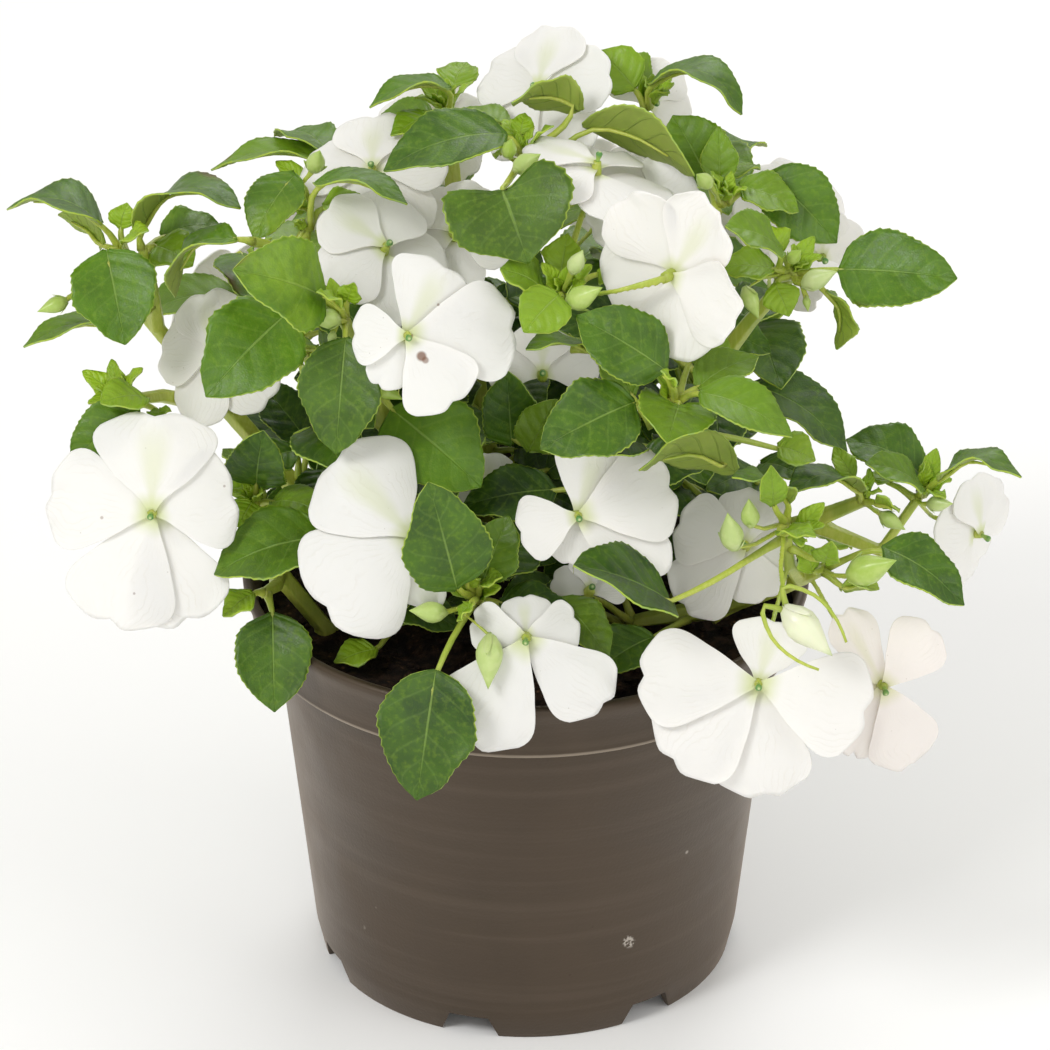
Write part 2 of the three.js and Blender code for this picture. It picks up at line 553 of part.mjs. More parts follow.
function meshOf(name, whole, colour, roughness) {
  const { vertProperties, triVerts } = whole.getMesh();
  const geometry = new THREE.BufferGeometry();
  geometry.setAttribute('position', new THREE.BufferAttribute(new Float32Array(vertProperties), 3));
  geometry.setIndex(Array.from(triVerts));
  geometry.computeVertexNormals();
  const material = new THREE.MeshStandardMaterial({ color: colour, roughness, metalness: 0 });
  const mesh = new THREE.Mesh(geometry, material);
  mesh.name = name;
  return mesh;
}

function solidOfGeometry(geometry) {
  const position = geometry.getAttribute('position');
  const points = [];
  const numbers = new Map();
  const shared = [];
  for (let i = 0; i < position.count; i += 1) {
    const p = new THREE.Vector3().fromBufferAttribute(position, i);
    const key = p.toArray().map((v) => Math.round(v * 1e4)).join(' ');
    if (!numbers.has(key)) {
      numbers.set(key, points.length);
      points.push(p);
    }
    shared.push(numbers.get(key));
  }
  const corners = geometry.index ? Array.from(geometry.index.array) : [...Array(position.count).keys()];
  const triangles = [];
  for (let i = 0; i < corners.length; i += 3) {
    const triangle = corners.slice(i, i + 3).map((corner) => shared[corner]);
    if (new Set(triangle).size === 3) {
      triangles.push(triangle);
    }
  }
  return solid(points, triangles);
}

// A lathe turns about Y; the pot's axis is Z.
function turned(profile, sides) {
  const geometry = new THREE.LatheGeometry(profile.map(([r, z]) => new THREE.Vector2(r, z)), sides);
  geometry.rotateX(Math.PI / 2);
  return solidOfGeometry(geometry);
}

function cylinder(x, y, z0, z1, radius, sides) {
  const geometry = new THREE.CylinderGeometry(radius, radius, z1 - z0, sides);
  geometry.rotateX(Math.PI / 2);
  geometry.translate(x, y, (z0 + z1) / 2);
  return solidOfGeometry(geometry);
}

// A round bar along a curve, whose radius changes along it.
function bar(curve, rings, sides, radiusAt) {
  const frames = curve.computeFrenetFrames(rings, false);
  const points = [];
  const triangles = [];
  for (let i = 0; i <= rings; i += 1) {
    const centre = curve.getPointAt(i / rings);
    for (let k = 0; k < sides; k += 1) {
      const angle = (2 * Math.PI * k) / sides;
      points.push(centre.clone()
        .addScaledVector(frames.normals[i], radiusAt(i / rings) * Math.cos(angle))
        .addScaledVector(frames.binormals[i], radiusAt(i / rings) * Math.sin(angle)));
    }
  }
  for (let i = 0; i < rings; i += 1) {
    for (let k = 0; k < sides; k += 1) {
      const a = i * sides + k;
      const b = i * sides + ((k + 1) % sides);
      triangles.push([a, b, b + sides], [a, b + sides, a + sides]);
    }
  }
  const last = rings * sides;
  for (let k = 1; k < sides - 1; k += 1) {
    triangles.push([0, k + 1, k], [last, last + k, last + k + 1]);
  }
  return solid(points, triangles);
}

function curveThrough(points) {
  return new THREE.CatmullRomCurve3(points, false, 'centripetal');
}

// ------------------------------------------------------------------ blades
// A blade is a strip of rows. A row holds its left, middle and right points with the blade's up
// direction there; a row may have no middle. Both faces are split alike, and the edges have the
// set thicknesses: left, right and tip.
function stripMesh(rows, notches, tip, pad) {
  const points = [];
  const put = (point, up, thickness) => {
    const half = thickness / 2 + pad;
    points.push(point.clone().addScaledVector(up, half), point.clone().addScaledVector(up, -half));
    return points.length / 2 - 1;
  };
  const ids = rows.map((row, i) => ({
    left: put(row.left, row.up, row.thickness ?? EDGE_LEFT),
    middle: row.middle ? put(row.middle, row.up, row.ends ? EDGE_TIP : BLADE_MIDDLE) : null,
    right: put(row.right, row.up, row.thickness ?? EDGE_RIGHT),
    notch: notches[i]
      ? [put(notches[i].left, notches[i].up, EDGE_LEFT), put(notches[i].right, notches[i].up, EDGE_RIGHT)]
      : null,
  }));
  const tipId = tip ? put(tip.point, tip.up, EDGE_TIP) : null;
  const faces = [];
  const next = (i) => (i + 1 < ids.length ? ids[i + 1] : { left: tipId, middle: tipId, right: tipId });
  const spans = tip ? ids.length : ids.length - 1;
  for (let i = 0; i < spans; i += 1) {
    halfSpan(faces, ids[i], next(i), 'right', 1);
    halfSpan(faces, ids[i], next(i), 'left', 0);
  }
  const outline = ids.flatMap((id) => (id.notch ? [id.right, id.notch[1]] : [id.right]));
  const leftSide = ids.flatMap((id) => (id.notch ? [id.left, id.notch[0]] : [id.left])).reverse();
  outline.push(...[tip ? tipId : ids[ids.length - 1].middle].filter((id) => id !== null), ...leftSide);
  if (ids[0].middle !== null) {
    outline.push(ids[0].middle);
  }
  const triangles = [];
  for (const [a, b, c] of faces) {
    triangles.push([2 * a, 2 * b, 2 * c], [2 * a + 1, 2 * c + 1, 2 * b + 1]);
  }
  const walls = outline.map((id, i) => [2 * id, 2 * outline[(i + 1) % outline.length]])
    .map(([a, b]) => [[a + 1, b + 1, b], [a + 1, b, a]]);
  return { points, triangles, walls };
}

function stripSolid(rows, notches, tip, pad) {
  const { points, triangles, walls } = stripMesh(rows, notches, tip, pad);
  return solid(points, [...triangles, ...walls.flat()]);
}

// One half of the face between two rows, as triangles that turn to the left seen from above.
function halfSpan(faces, low, high, side, notchIndex) {
  const add = (a, b, c) => {
    if (new Set([a, b, c]).size === 3) {
      faces.push(side === 'right' ? [a, b, c] : [a, c, b]);
    }
  };
  const foot = low.middle ?? low.left;
  const head = high.middle ?? high.left;
  if (low.middle === null && side === 'left') {
    add(head, low.left, high.left);
    return;
  }
  if (low.notch) {
    const notch = low.notch[notchIndex];
    add(foot, low[side], notch);
    add(foot, notch, head);
    add(head, notch, high[side]);
    return;
  }
  add(foot, low[side], high[side]);
  add(foot, high[side], head);
}

// The frame of a blade: forward to the tip, right, and up on its upper side.
function bladeFrame(base, tip, looks) {
  const forward = tip.clone().sub(base).normalize();
  const right = forward.clone().cross(looks).normalize();
  return { forward, right, up: right.clone().cross(forward) };
}

// A leaf from its stalk's root in the stem: the stalk, then the arched, slightly cupped blade.
function leafRows(leaf, root, grow) {
  const { base, tip, width, looks, arch, outline } = leaf;
  const { forward, right, up } = bladeFrame(base, tip, looks);
  const length = tip.distanceTo(base) + grow;
  const axis = (s) => base.clone()
    .addScaledVector(forward, length * s)
    .addScaledVector(up, 4 * arch * length * s * (1 - s));
  const upAt = (s) => {
    const heading = forward.clone().addScaledVector(up, 4 * arch * (1 - 2 * s)).normalize();
    return right.clone().cross(heading).normalize();
  };
  const edge = (s, side, reach, wave) => axis(s)
    .addScaledVector(right, side * (reach * width + grow))
    .addScaledVector(upAt(s), LEAF_CUP * reach * width + wave);
  const spine = (s) => axis(Math.max(s, LEAF_SINUS));
  const stalk = base.clone().sub(root).normalize();
  const bend = stalk.clone().add(forward).normalize();
  const acrossOf = (heading) => right.clone().addScaledVector(heading, -right.dot(heading)).normalize();
  const rowOnStalk = (place, heading, halfWidth, thickness) => {
    const across = acrossOf(heading);
    return {
      left: place.clone().addScaledVector(across, -halfWidth),
      right: place.clone().addScaledVector(across, halfWidth),
      middle: null,
      up: across.clone().cross(heading).normalize(),
      thickness,
    };
  };
  const rows = [
    rowOnStalk(root, stalk, STALK_HALF_WIDTH + grow, STALK_THICKNESS),
    rowOnStalk(base, bend, STALK_HALF_WIDTH + grow),
  ];
  const notches = [null, null];
  outline.rows.forEach(([s, reach], i) => {
    const wave = i % 2 === 0 ? LEAF_WAVE : -LEAF_WAVE;
    rows.push({
      left: edge(s, -1, reach, wave),
      middle: spine(s),
      right: edge(s, 1, reach, -wave),
      up: upAt(s),
    });
    if (outline.notches) {
      const [at, deep] = outline.notches[i];
      const inset = deep - TOOTH_DEPTH / width;
      notches.push({ left: edge(at, -1, inset, 0), right: edge(at, 1, inset, 0), up: upAt(at) });
    }
  });
  return { rows, notches, tip: { point: axis(1), up: upAt(1) } };
}

// ------------------------------------------------------------------ keeping pieces clear
const placed = [];

function boxOf(shape) {
  const { min, max } = shape.boundingBox();
  return new THREE.Box3(new THREE.Vector3(...min), new THREE.Vector3(...max));
}

function keep(shape, owner, part) {
  placed.push({ shape, box: boxOf(shape), owner, part });
}

function crosses(shape, isFree) {
  const box = boxOf(shape);
  const at = placed.findIndex((other) => {
    if (isFree(other) || !box.intersectsBox(other.box)) {
      return false;
    }
    const shared = shape.intersect(other.shape);
    const meets = !shared.isEmpty();
    shared.delete();
    return meets;
  });
  if (at > 0) {
    placed.unshift(...placed.splice(at, 1));
  }
  return at >= 0;
}

// ------------------------------------------------------------------ pot and soil
function bandRadiusAt(z) {
  return BAND_RADIUS + ((RIM_RADIUS - BAND_RADIUS) * (z - BAND_BOTTOM)) / (POT_HEIGHT - BAND_BOTTOM);
}

function potSolid() {
  const floor = FOOT_HEIGHT + FOOT_WALL;
  const footInner = FOOT_RADIUS - FOOT_WALL;
  const lipZ = POT_HEIGHT - RIM_WIDTH;
  const profile = [
    [0, 0], [BOSS_RADIUS, 0], [BOSS_RADIUS, FOOT_HEIGHT], [footInner, FOOT_HEIGHT], [footInner, 0],
    [FOOT_RADIUS, 0], [WALL_FOOT_RADIUS, FOOT_HEIGHT + 1], [SHOULDER_RADIUS, BAND_BOTTOM],
    [BAND_RADIUS, BAND_BOTTOM], [RIM_RADIUS, POT_HEIGHT], [RIM_RADIUS - RIM_WIDTH, POT_HEIGHT],
    [bandRadiusAt(lipZ) - POT_WALL, lipZ], [BAND_RADIUS - POT_WALL, BAND_BOTTOM + POT_WALL],
    [SHOULDER_RADIUS - POT_WALL, BAND_BOTTOM], [WALL_FOOT_RADIUS - POT_WALL, floor], [0, floor],
  ];
  let pot = turned(profile, POT_SIDES);
  const gapWidth = 2 * FOOT_RADIUS * Math.sin(THREE.MathUtils.degToRad(FOOT_GAP_ANGLE / 2));
  const [holeFrom, holeTo] = [FOOT_HEIGHT - CUT_MARGIN, floor + CUT_MARGIN];
  for (let i = 0; i < FEET; i += 1) {
    const gapTurn = FOOT_TURN + (360 / FEET) * (i + 0.5) - 90;
    const notch = new THREE.BoxGeometry(FOOT_GAP_DEPTH, gapWidth, FOOT_HEIGHT);
    notch.translate(FOOT_RADIUS - FOOT_GAP_INSET, 0, FOOT_HEIGHT / 2 - FOOT_GAP_BELOW);
    notch.rotateZ(THREE.MathUtils.degToRad(gapTurn));
    pot = pot.subtract(solidOfGeometry(notch));
  }
  for (let i = 0; i < FEET; i += 1) {
    const angle = THREE.MathUtils.degToRad(FOOT_TURN + (360 / FEET) * i);
    const x = DRAIN_RING_RADIUS * Math.cos(angle);
    const y = DRAIN_RING_RADIUS * Math.sin(angle);
    pot = pot.subtract(cylinder(x, y, holeFrom, holeTo, DRAIN_HOLE_RADIUS, DRAIN_HOLE_SIDES));
  }
  return pot;
}

function soilHeight(x, y) {
  return SOIL_TOP + SOIL_LUMP * (Math.sin(x / 5.3 + 1) * Math.cos(y / 6.1) + 0.5 * Math.sin((x + y) / 3.1));
}

// The root ball: a lathe's wall and floor, with a lumpy top made ring by ring.
function soilSolid(stemFeet) {
  const floor = FOOT_HEIGHT + FOOT_WALL + GAP;
  const wallAt = (z) => {
    const share = (z - FOOT_HEIGHT) / (BAND_BOTTOM - FOOT_HEIGHT);
    return WALL_FOOT_RADIUS + (SHOULDER_RADIUS - WALL_FOOT_RADIUS) * share - POT_WALL - SOIL_CLEARANCE;
  };
  const sides = SOIL_SIDES;
  const rim = bandRadiusAt(SOIL_TOP) - POT_WALL - SOIL_CLEARANCE;
  const shoulder = BAND_BOTTOM + POT_WALL + GAP;
  const levels = [[wallAt(floor), floor], [wallAt(BAND_BOTTOM), shoulder], [rim, SOIL_TOP]];
  const points = [];
  const triangles = [];
  const ring = (radius, heightAt) => {
    for (let k = 0; k < sides; k += 1) {
      const angle = (2 * Math.PI * k) / sides;
      const x = radius * Math.cos(angle);
      const y = radius * Math.sin(angle);
      points.push(new THREE.Vector3(x, y, heightAt(x, y)));
    }
  };
  levels.forEach(([radius, z]) => ring(radius, () => z));
  for (let i = 1; i < SOIL_RINGS; i += 1) {
    ring((rim * (SOIL_RINGS - i)) / SOIL_RINGS, soilHeight);
  }
  const rings = points.length / sides;
  for (let i = 0; i < rings - 1; i += 1) {
    for (let k = 0; k < sides; k += 1) {
      const a = i * sides + k;
      const b = i * sides + ((k + 1) % sides);
      triangles.push([a, b, b + sides], [a, b + sides, a + sides]);
    }
  }
  points.push(new THREE.Vector3(0, 0, floor), new THREE.Vector3(0, 0, soilHeight(0, 0)));
  const [under, over] = [points.length - 2, points.length - 1];
  for (let k = 0; k < sides; k += 1) {
    const after = (k + 1) % sides;
    triangles.push([under, after, k], [over, (rings - 1) * sides + k, (rings - 1) * sides + after]);
  }
  let soil = solid(points, triangles);
  const socketFloor = SOIL_TOP - STEM_SOCKET_DEPTH - CUT_MARGIN;
  for (const [x, y] of stemFeet) {
    const radius = STEM_FOOT_RADIUS + SOCKET_CLEARANCE;
    soil = soil.subtract(cylinder(x, y, socketFloor, SOIL_TOP + STEM_STRAIGHT, radius, SOCKET_SIDES));
  }
  return soil;
}

// ------------------------------------------------------------------ blooms
function angleBetween(a, b) {
  return Math.abs(((a - b + 540) % 360) - 180);
}

// The petals of a plain flower: the upper one, the two beside it and the two lower ones.
function evenPetals(top, size) {
  return [
    [top, 0.92 * size, 1.04 * size, 0], [top + 72, size, 0.98 * size, -4], [top - 72, size, 0.98 * size, -6],
    [top + 143, 1.1 * size, size, -5], [top - 143, 1.1 * size, size, -10],
  ];
}

// How far the petals sweep at any angle: a smooth blend of the petals' own sweeps.
function sweepAt(petals, angle) {
  let total = 0;
  let weight = 0;
  for (const [at, , , sweep] of petals) {
    const share = Math.exp(-((angleBetween(angle, at) / SWEEP_BLEND) ** 2)) + SWEEP_REST;
    total += share * sweep;
    weight += share;
  }
  return THREE.MathUtils.degToRad(total / weight);
}

// A point of the flower's warped face: distance and angle from the eye, lifted by the layers.
function onFace(bloom, distance, angle) {
  const sweep = sweepAt(bloom.petals, angle);
  const curl = THREE.MathUtils.degToRad(PETAL_CURL);
  const step = distance / SWEEP_STEPS;
  let out = 0;
  let ahead = 0;
  for (let i = 0; i < SWEEP_STEPS; i += 1) {
    const r = step * (i + 0.5);
    const lean = sweep * Math.min(1, r / SWEEP_REACH) + curl * (r / bloom.reach) ** 2;
    out += Math.cos(lean) * step;
    ahead += Math.sin(lean) * step;
  }
  const warp = FACE_WARP * (distance / bloom.reach) ** 2;
  ahead += warp * Math.sin(THREE.MathUtils.degToRad(angle * 2 + bloom.phase));
  const turn = THREE.MathUtils.degToRad(angle);
  return bloom.eye.clone()
    .addScaledVector(bloom.across, out * Math.cos(turn))
    .addScaledVector(bloom.rise, out * Math.sin(turn))
    .addScaledVector(bloom.looks, ahead);
}

function faceUp(bloom, distance, angle) {
  const small = 0.05;
  const turnStep = THREE.MathUtils.radToDeg(small / Math.max(distance, 1));
  const outward = onFace(bloom, distance + small, angle).sub(onFace(bloom, distance, angle));
  const around = onFace(bloom, distance, angle + turnStep).sub(onFace(bloom, distance, angle));
  return outward.cross(around).normalize();
}

function petalRows(bloom, petal, layer, pad) {
  const [angle, length, width] = petal;
  const at = (forward, side) => {
    const distance = Math.hypot(forward, side);
    const turned = angle - THREE.MathUtils.radToDeg(Math.atan2(side, forward));
    const up = faceUp(bloom, distance, turned);
    return { point: onFace(bloom, distance, turned).addScaledVector(up, -layer * PETAL_PITCH), up };
  };
  const half = PETAL_ROOT + pad;
  const foot = PETAL_ROOT_AT;
  const root = { left: at(foot, -half).point, right: at(foot, half).point, middle: null, up: at(foot, 0).up };
  const rows = [root];
  bloom.rows.forEach(([s, reach], i) => {
    const ends = i === bloom.rows.length - 1;
    const forward = s * length + (ends ? pad : 0);
    const side = reach * width + pad;
    const middle = at(ends ? PETAL_NOTCH * length + pad : forward, 0);
    rows.push({
      left: at(forward, -side).point,
      right: at(forward, side).point,
      middle: middle.point,
      up: middle.up,
      ends,
    });
  });
  return rows;
}

// A petal lies behind the petals beside it that are named before it.
function petalLayers(petals) {
  const layers = [];
  petals.forEach(([angle], i) => {
    const under = (other, k) => (angleBetween(angle, other) < PETAL_OVERLAP ? layers[k] + 1 : 0);
    layers.push(Math.max(0, ...petals.slice(0, i).map(([other], k) => under(other, k))));
  });
  return layers;
}

function turnOf(bloom, i) {
  return THREE.MathUtils.euclideanModulo(bloom.petals[i][0], 360);
}

function openBloom(spec, shift, size) {
  const { looks } = spec;
  const across = ACROSS.clone().addScaledVector(looks, -ACROSS.dot(looks)).normalize();
  const sized = ([angle, length, width, sweep]) => [angle, length * size, width * size, sweep];
  const petals = spec.petals.map(sized);
  const layers = petalLayers(petals);
  const depth = Math.max(...layers) * PETAL_PITCH + CORE_COVER;
  const bloom = {
    name: spec.name,
    eye: spec.eye.clone().addScaledVector(TOWARD, shift),
    looks,
    across,
    rise: looks.clone().cross(across),
    petals,
    phase: spec.phase,
    rows: spec.rows,
    spurred: spec.spurred,
    reach: Math.max(...petals.map(([, length]) => length)),
  };
  bloom.back = bloom.eye.clone().addScaledVector(looks, -depth);
  bloom.front = bloom.eye.clone().addScaledVector(looks, CORE_COVER);
  bloom.layers = layers;
  return bloom;
}

// A bloom with room round it, to find out whether anything else is in the way.
function bloomRoom(bloom) {
  const core = bar(new THREE.LineCurve3(bloom.back, bloom.front), 1, CORE_SIDES, () => CORE_RADIUS + GAP);
  const petals = bloom.petals.map((petal, i) => {
    const rows = petalRows(bloom, petal, bloom.layers[i], GAP);
    return stripSolid(rows, [], null, GAP);
  });
  return joined([core, ...petals]);
}

// The bloom itself is one skin: a core with a side for each petal, which the petal grows out of.
function bloomSolid(bloom) {
  const order = bloom.petals.map((petal, i) => i).sort((a, b) => turnOf(bloom, a) - turnOf(bloom, b));
  const count = order.length;
  const points = [];
  const triangles = [];
  for (let k = 0; k < count; k += 1) {
    const turn = turnOf(bloom, order[k]);
    const next = turnOf(bloom, order[(k + 1) % count]) + (k + 1 === count ? 360 : 0);
    const corner = THREE.MathUtils.degToRad((turn + next) / 2);
    const out = bloom.across.clone()
      .multiplyScalar(CORE_RADIUS * Math.cos(corner))
      .addScaledVector(bloom.rise, CORE_RADIUS * Math.sin(corner));
    points.push(bloom.front.clone().add(out), bloom.back.clone().add(out));
  }
  for (let k = 1; k < count - 1; k += 1) {
    triangles.push([0, 2 * k, 2 * k + 2], [1, 2 * k + 3, 2 * k + 1]);
  }
  order.forEach((petal, k) => {
    const before = (k + count - 1) % count;
    const rows = petalRows(bloom, bloom.petals[petal], bloom.layers[petal], 0);
    const strip = stripMesh(rows, [], null, 0);
    const first = points.length;
    const shifted = (triangle) => triangle.map((corner) => corner + first);
    points.push(...strip.points);
    triangles.push(...strip.triangles.map(shifted), ...strip.walls.slice(0, -1).flat().map(shifted));
    const side = [2 * k, 2 * before, 2 * before + 1, 2 * k + 1];
    const [left, right] = [first, first + 2];
    const root = [left, right, right + 1, left + 1];
    for (let j = 0; j < 4; j += 1) {
      const after = (j + 1) % 4;
      triangles.push([side[j], side[after], root[after]], [side[j], root[after], root[j]]);
    }
  });
  return solid(points, triangles);
}

function placeBloom(spec) {
  for (const size of BLOOM_SIZES) {
    for (const shift of BLOOM_SHIFTS) {
      const bloom = openBloom(spec, shift, size);
      const wide = bloomRoom(bloom);
      const blocked = crosses(wide, () => false);
      wide.delete();
      if (!blocked) {
        bloom.solid = bloomSolid(bloom);
        keep(bloom.solid, spec.name, 'bloom');
        return bloom;
      }
    }
  }
  return null;
}

// ------------------------------------------------------------------ stems
function stemRings(curve) {
  return Math.max(2, Math.ceil(curve.getLength() / STEM_RING_STEP));
}

function stemSolid(curve, footRadius, tipRadius) {
  const rings = stemRings(curve);
  const radiusAt = (u) => {
    const ring = Math.round(u * rings);
    const swelling = ring % 2 === 0 && ring > 0 && ring < rings ? NODE_SWELLING : 1;
    return swelling * THREE.MathUtils.lerp(footRadius, tipRadius, u);
  };
  return (pad) => bar(curve, rings, STEM_SIDES, (u) => radiusAt(u) + pad);
}

// A place in the middle of a faceted stem: on the straight line between two of its rings.
function middleOf(curve, u) {
  const rings = stemRings(curve);
  const ring = Math.min(rings - 1, Math.floor(u * rings));
  return curve.getPointAt(ring / rings).lerp(curve.getPointAt((ring + 1) / rings), u * rings - ring);
}

function nearestOn(curve, place) {
  const samples = 60;
  let best = null;
  for (let i = 0; i <= samples; i += 1) {
    const point = middleOf(curve, i / samples);
    const distance = point.distanceTo(place);
    if (!best || distance < best.distance) {
      best = { point, distance, u: i / samples };
    }
  }
  return best;
}

// Every mix of one value from each list.
function everyMix(lists) {
  let mixes = [{}];
  for (const [name, values] of Object.entries(lists)) {
    mixes = mixes.flatMap((mix) => values.map((value) => ({ ...mix, [name]: value })));
  }
  return mixes;
}

// Bends to try, least first: how far the middle of a stem moves toward the eye, across and up.
function stemTrials() {
  const costOf = ({ trim, toward, aside, aloft }) => (
    TRIM_COST * trim + Math.abs(toward) + Math.abs(aside) + Math.abs(aloft)
  );
  return everyMix(STEM_SHIFTS).sort((a, b) => costOf(a) - costOf(b));
}

const STEM_TRIALS = stemTrials();

function growStem(owner, points, start, radii) {
  for (const { trim, toward, aside, aloft } of STEM_TRIALS) {
    const kept = points.length > 2 ? points.slice(0, points.length - trim) : points;
    const bent = kept.map((point, i) => {
      const share = Math.sin((Math.PI * (i + 1)) / (kept.length + 0.6));
      return point.clone()
        .addScaledVector(TOWARD, toward * share)
        .addScaledVector(ACROSS, aside * share)
        .addScaledVector(UPWARD, aloft * share);
    });
    const curve = curveThrough([...start, ...bent]);
    const shape = stemSolid(curve, ...radii);
    const wide = shape(GAP);
    const blocked = crosses(wide, (other) => other.owner === owner);
    wide.delete();
    if (!blocked) {
      const whole = shape(0);
      keep(whole, owner, 'stem');
      return { owner, curve, solid: whole, thin: radii[0] < STEM_FOOT_RADIUS };
    }
  }
  return null;
}

function growPlant(owner, root, path, branches) {
  const [x, y] = root;
  const foot = [SOIL_TOP - STEM_SOCKET_DEPTH, SOIL_TOP - STEM_SOCKET_DEPTH / 2, SOIL_TOP + STEM_STRAIGHT]
    .map((z) => new THREE.Vector3(x, y, z));
  const main = growStem(owner, path, foot, [STEM_FOOT_RADIUS, STEM_TIP_RADIUS]);
  if (!main) {
    return [];
  }
  const stems = [main];
  for (const branch of branches) {
    const highest = 1 - SEAT_BELOW_TIP / main.curve.getLength();
    const start = middleOf(main.curve, Math.min(highest, nearestOn(main.curve, branch[0]).u));
    const side = growStem(owner, branch.slice(1), [start], [BRANCH_FOOT_RADIUS, BRANCH_TIP_RADIUS]);
    if (side) {
      stems.push(side);
    }
  }
  return stems;
}

// ------------------------------------------------------------------ flower stalks, spurs and buds
function stalkTo(end, heading, stems, reach, endRadius) {
  const lead = end.clone().addScaledVector(heading, -reach);
  const starts = [];
  for (const stem of stems) {
    const highest = 1 - SEAT_BELOW_TIP / stem.curve.getLength();
    for (let u = highest; u > SEAT_LOWEST; u -= SEAT_PITCH) {
      const point = middleOf(stem.curve, u);
      starts.push({ stem, point, distance: point.distanceTo(lead) });
    }
  }
  starts.sort((a, b) => a.distance - b.distance);
  for (const start of starts.slice(0, STALK_TRIES)) {
    for (const [aside, aloft] of STALK_BENDS) {
      const middle = start.point.clone().lerp(lead, 0.5)
        .addScaledVector(ACROSS, aside)
        .addScaledVector(TOWARD, aloft);
      const curve = curveThrough([start.point, middle, lead, end]);
      const radiusAt = (u) => (u > 0.99 ? endRadius : PEDICEL_RADIUS);
      const wide = bar(curve, STALK_RINGS, PEDICEL_SIDES, (u) => radiusAt(u) + GAP);
      const blocked = crosses(wide, (other) => other.owner === start.stem.owner
        && (other.part === 'stem' || other.part === 'stalk'));
      wide.delete();
      if (!blocked) {
        return { owner: start.stem.owner, solid: bar(curve, STALK_RINGS, PEDICEL_SIDES, radiusAt) };
      }
    }
  }
  return null;
}

function spurSolid(bloom, turn) {
  const start = bloom.back.clone().addScaledVector(bloom.looks, -SPUR_ROOT);
  const down = new THREE.Vector3(0, 0, -1).applyAxisAngle(bloom.looks, turn);
  const points = SPUR_PATH.map(([behind, below]) => start.clone()
    .addScaledVector(bloom.looks, -behind * SPUR_LENGTH)
    .addScaledVector(down, below * SPUR_LENGTH));
  const radiusAt = (u) => THREE.MathUtils.lerp(SPUR_RADIUS, SPUR_TIP_RADIUS, u);
  return (pad) => bar(curveThrough(points), STALK_RINGS, SPUR_SIDES, (u) => radiusAt(u) + pad);
}

function addSpur(bloom, owner) {
  for (const turn of SPUR_TURNS) {
    const shape = spurSolid(bloom, turn);
    const wide = shape(GAP);
    const blocked = crosses(wide, (other) => other.owner === owner && other.part === 'stalk');
    wide.delete();
    if (!blocked) {
      return shape(0);
    }
  }
  return null;
}

// A bud is a five-sided spindle that comes to a point.
function budSolid(base, tip) {
  const length = base.distanceTo(tip);
  const radius = BUD_SLENDERNESS * length;
  const curve = new THREE.LineCurve3(base, tip);
  const frames = curve.computeFrenetFrames(1, false);
  const points = [base, tip];
  for (const [share, swell] of BUD_ROWS) {
    for (let k = 0; k < BUD_SIDES; k += 1) {
      const angle = (2 * Math.PI * k) / BUD_SIDES;
      points.push(base.clone().lerp(tip, share)
        .addScaledVector(frames.normals[0], radius * swell * Math.cos(angle))
        .addScaledVector(frames.binormals[0], radius * swell * Math.sin(angle)));
    }
  }
  const triangles = [];
  for (let k = 0; k < BUD_SIDES; k += 1) {
    const a = 2 + k;
    const b = 2 + ((k + 1) % BUD_SIDES);
    triangles.push([0, b, a], [a, b, b + BUD_SIDES]);
    triangles.push([a, b + BUD_SIDES, a + BUD_SIDES], [a + BUD_SIDES, b + BUD_SIDES, 1]);
  }
  return solid(points, triangles);
}

function placeBud(owner, stems, base, tip) {
  for (const shift of BUD_SHIFTS) {
    const from = base.clone().addScaledVector(TOWARD, shift);
    const to = tip.clone().addScaledVector(TOWARD, shift);
    const heading = to.clone().sub(from).normalize();
    const wideFrom = from.clone().addScaledVector(heading, -GAP);
    const wideTo = to.clone().addScaledVector(heading, 2 * GAP);
    const wide = budSolid(wideFrom, wideTo);
    const blocked = crosses(wide, () => false);
    wide.delete();
    if (blocked) {
      continue;
    }
    const seat = from.clone().addScaledVector(heading, BUD_SEAT);
    const stalk = stalkTo(seat, heading, stems, BUD_LEAD, BUD_STALK_RADIUS);
    if (stalk) {
      const bud = budSolid(from, to);
      keep(bud, owner, 'bud');
      keep(stalk.solid, owner, 'stalk');
      return [bud, stalk.solid];
    }
  }
  return [];
}

// ------------------------------------------------------------------ setting the leaves
// Places to try, least changed first: smaller, turned, tipped, nearer or farther, lower on the stem.
function leafTrials() {
  const costOf = ({ size, turn, lift, shift, lower }) => (
    (1 - size) * LEAF_COSTS.size + Math.abs(turn) * LEAF_COSTS.turn + Math.abs(lift) * LEAF_COSTS.lift
    + Math.abs(shift) * LEAF_COSTS.shift + lower * LEAF_COSTS.lower
  );
  return everyMix(LEAF_SHIFTS).sort((a, b) => costOf(a) - costOf(b)).slice(0, LEAF_TRIES);
}

const LEAF_TRIALS = leafTrials();

// Where a leaf's stalk springs: the nearest place on the stems, or a place lower on that stem.
function seatOf(stems, base, lower) {
  const seats = stems.map((stem) => ({ stem, ...nearestOn(stem.curve, base) }));
  const { stem, u } = seats.reduce((best, other) => (other.distance < best.distance ? other : best));
  const length = stem.curve.getLength();
  const wanted = lower ? Math.max(SEAT_LOWEST, u - SEAT_STEP / length) : u;
  const seatU = Math.min(1 - SEAT_BELOW_TIP / length, wanted);
  const seat = middleOf(stem.curve, seatU);
  const radius = THREE.MathUtils.lerp(STEM_FOOT_RADIUS, STEM_TIP_RADIUS, seatU);
  const depth = SEAT_DEPTH * radius * (stem.thin ? BRANCH_THINNER : 1);
  return seat.addScaledVector(base.clone().sub(seat).normalize(), depth);
}

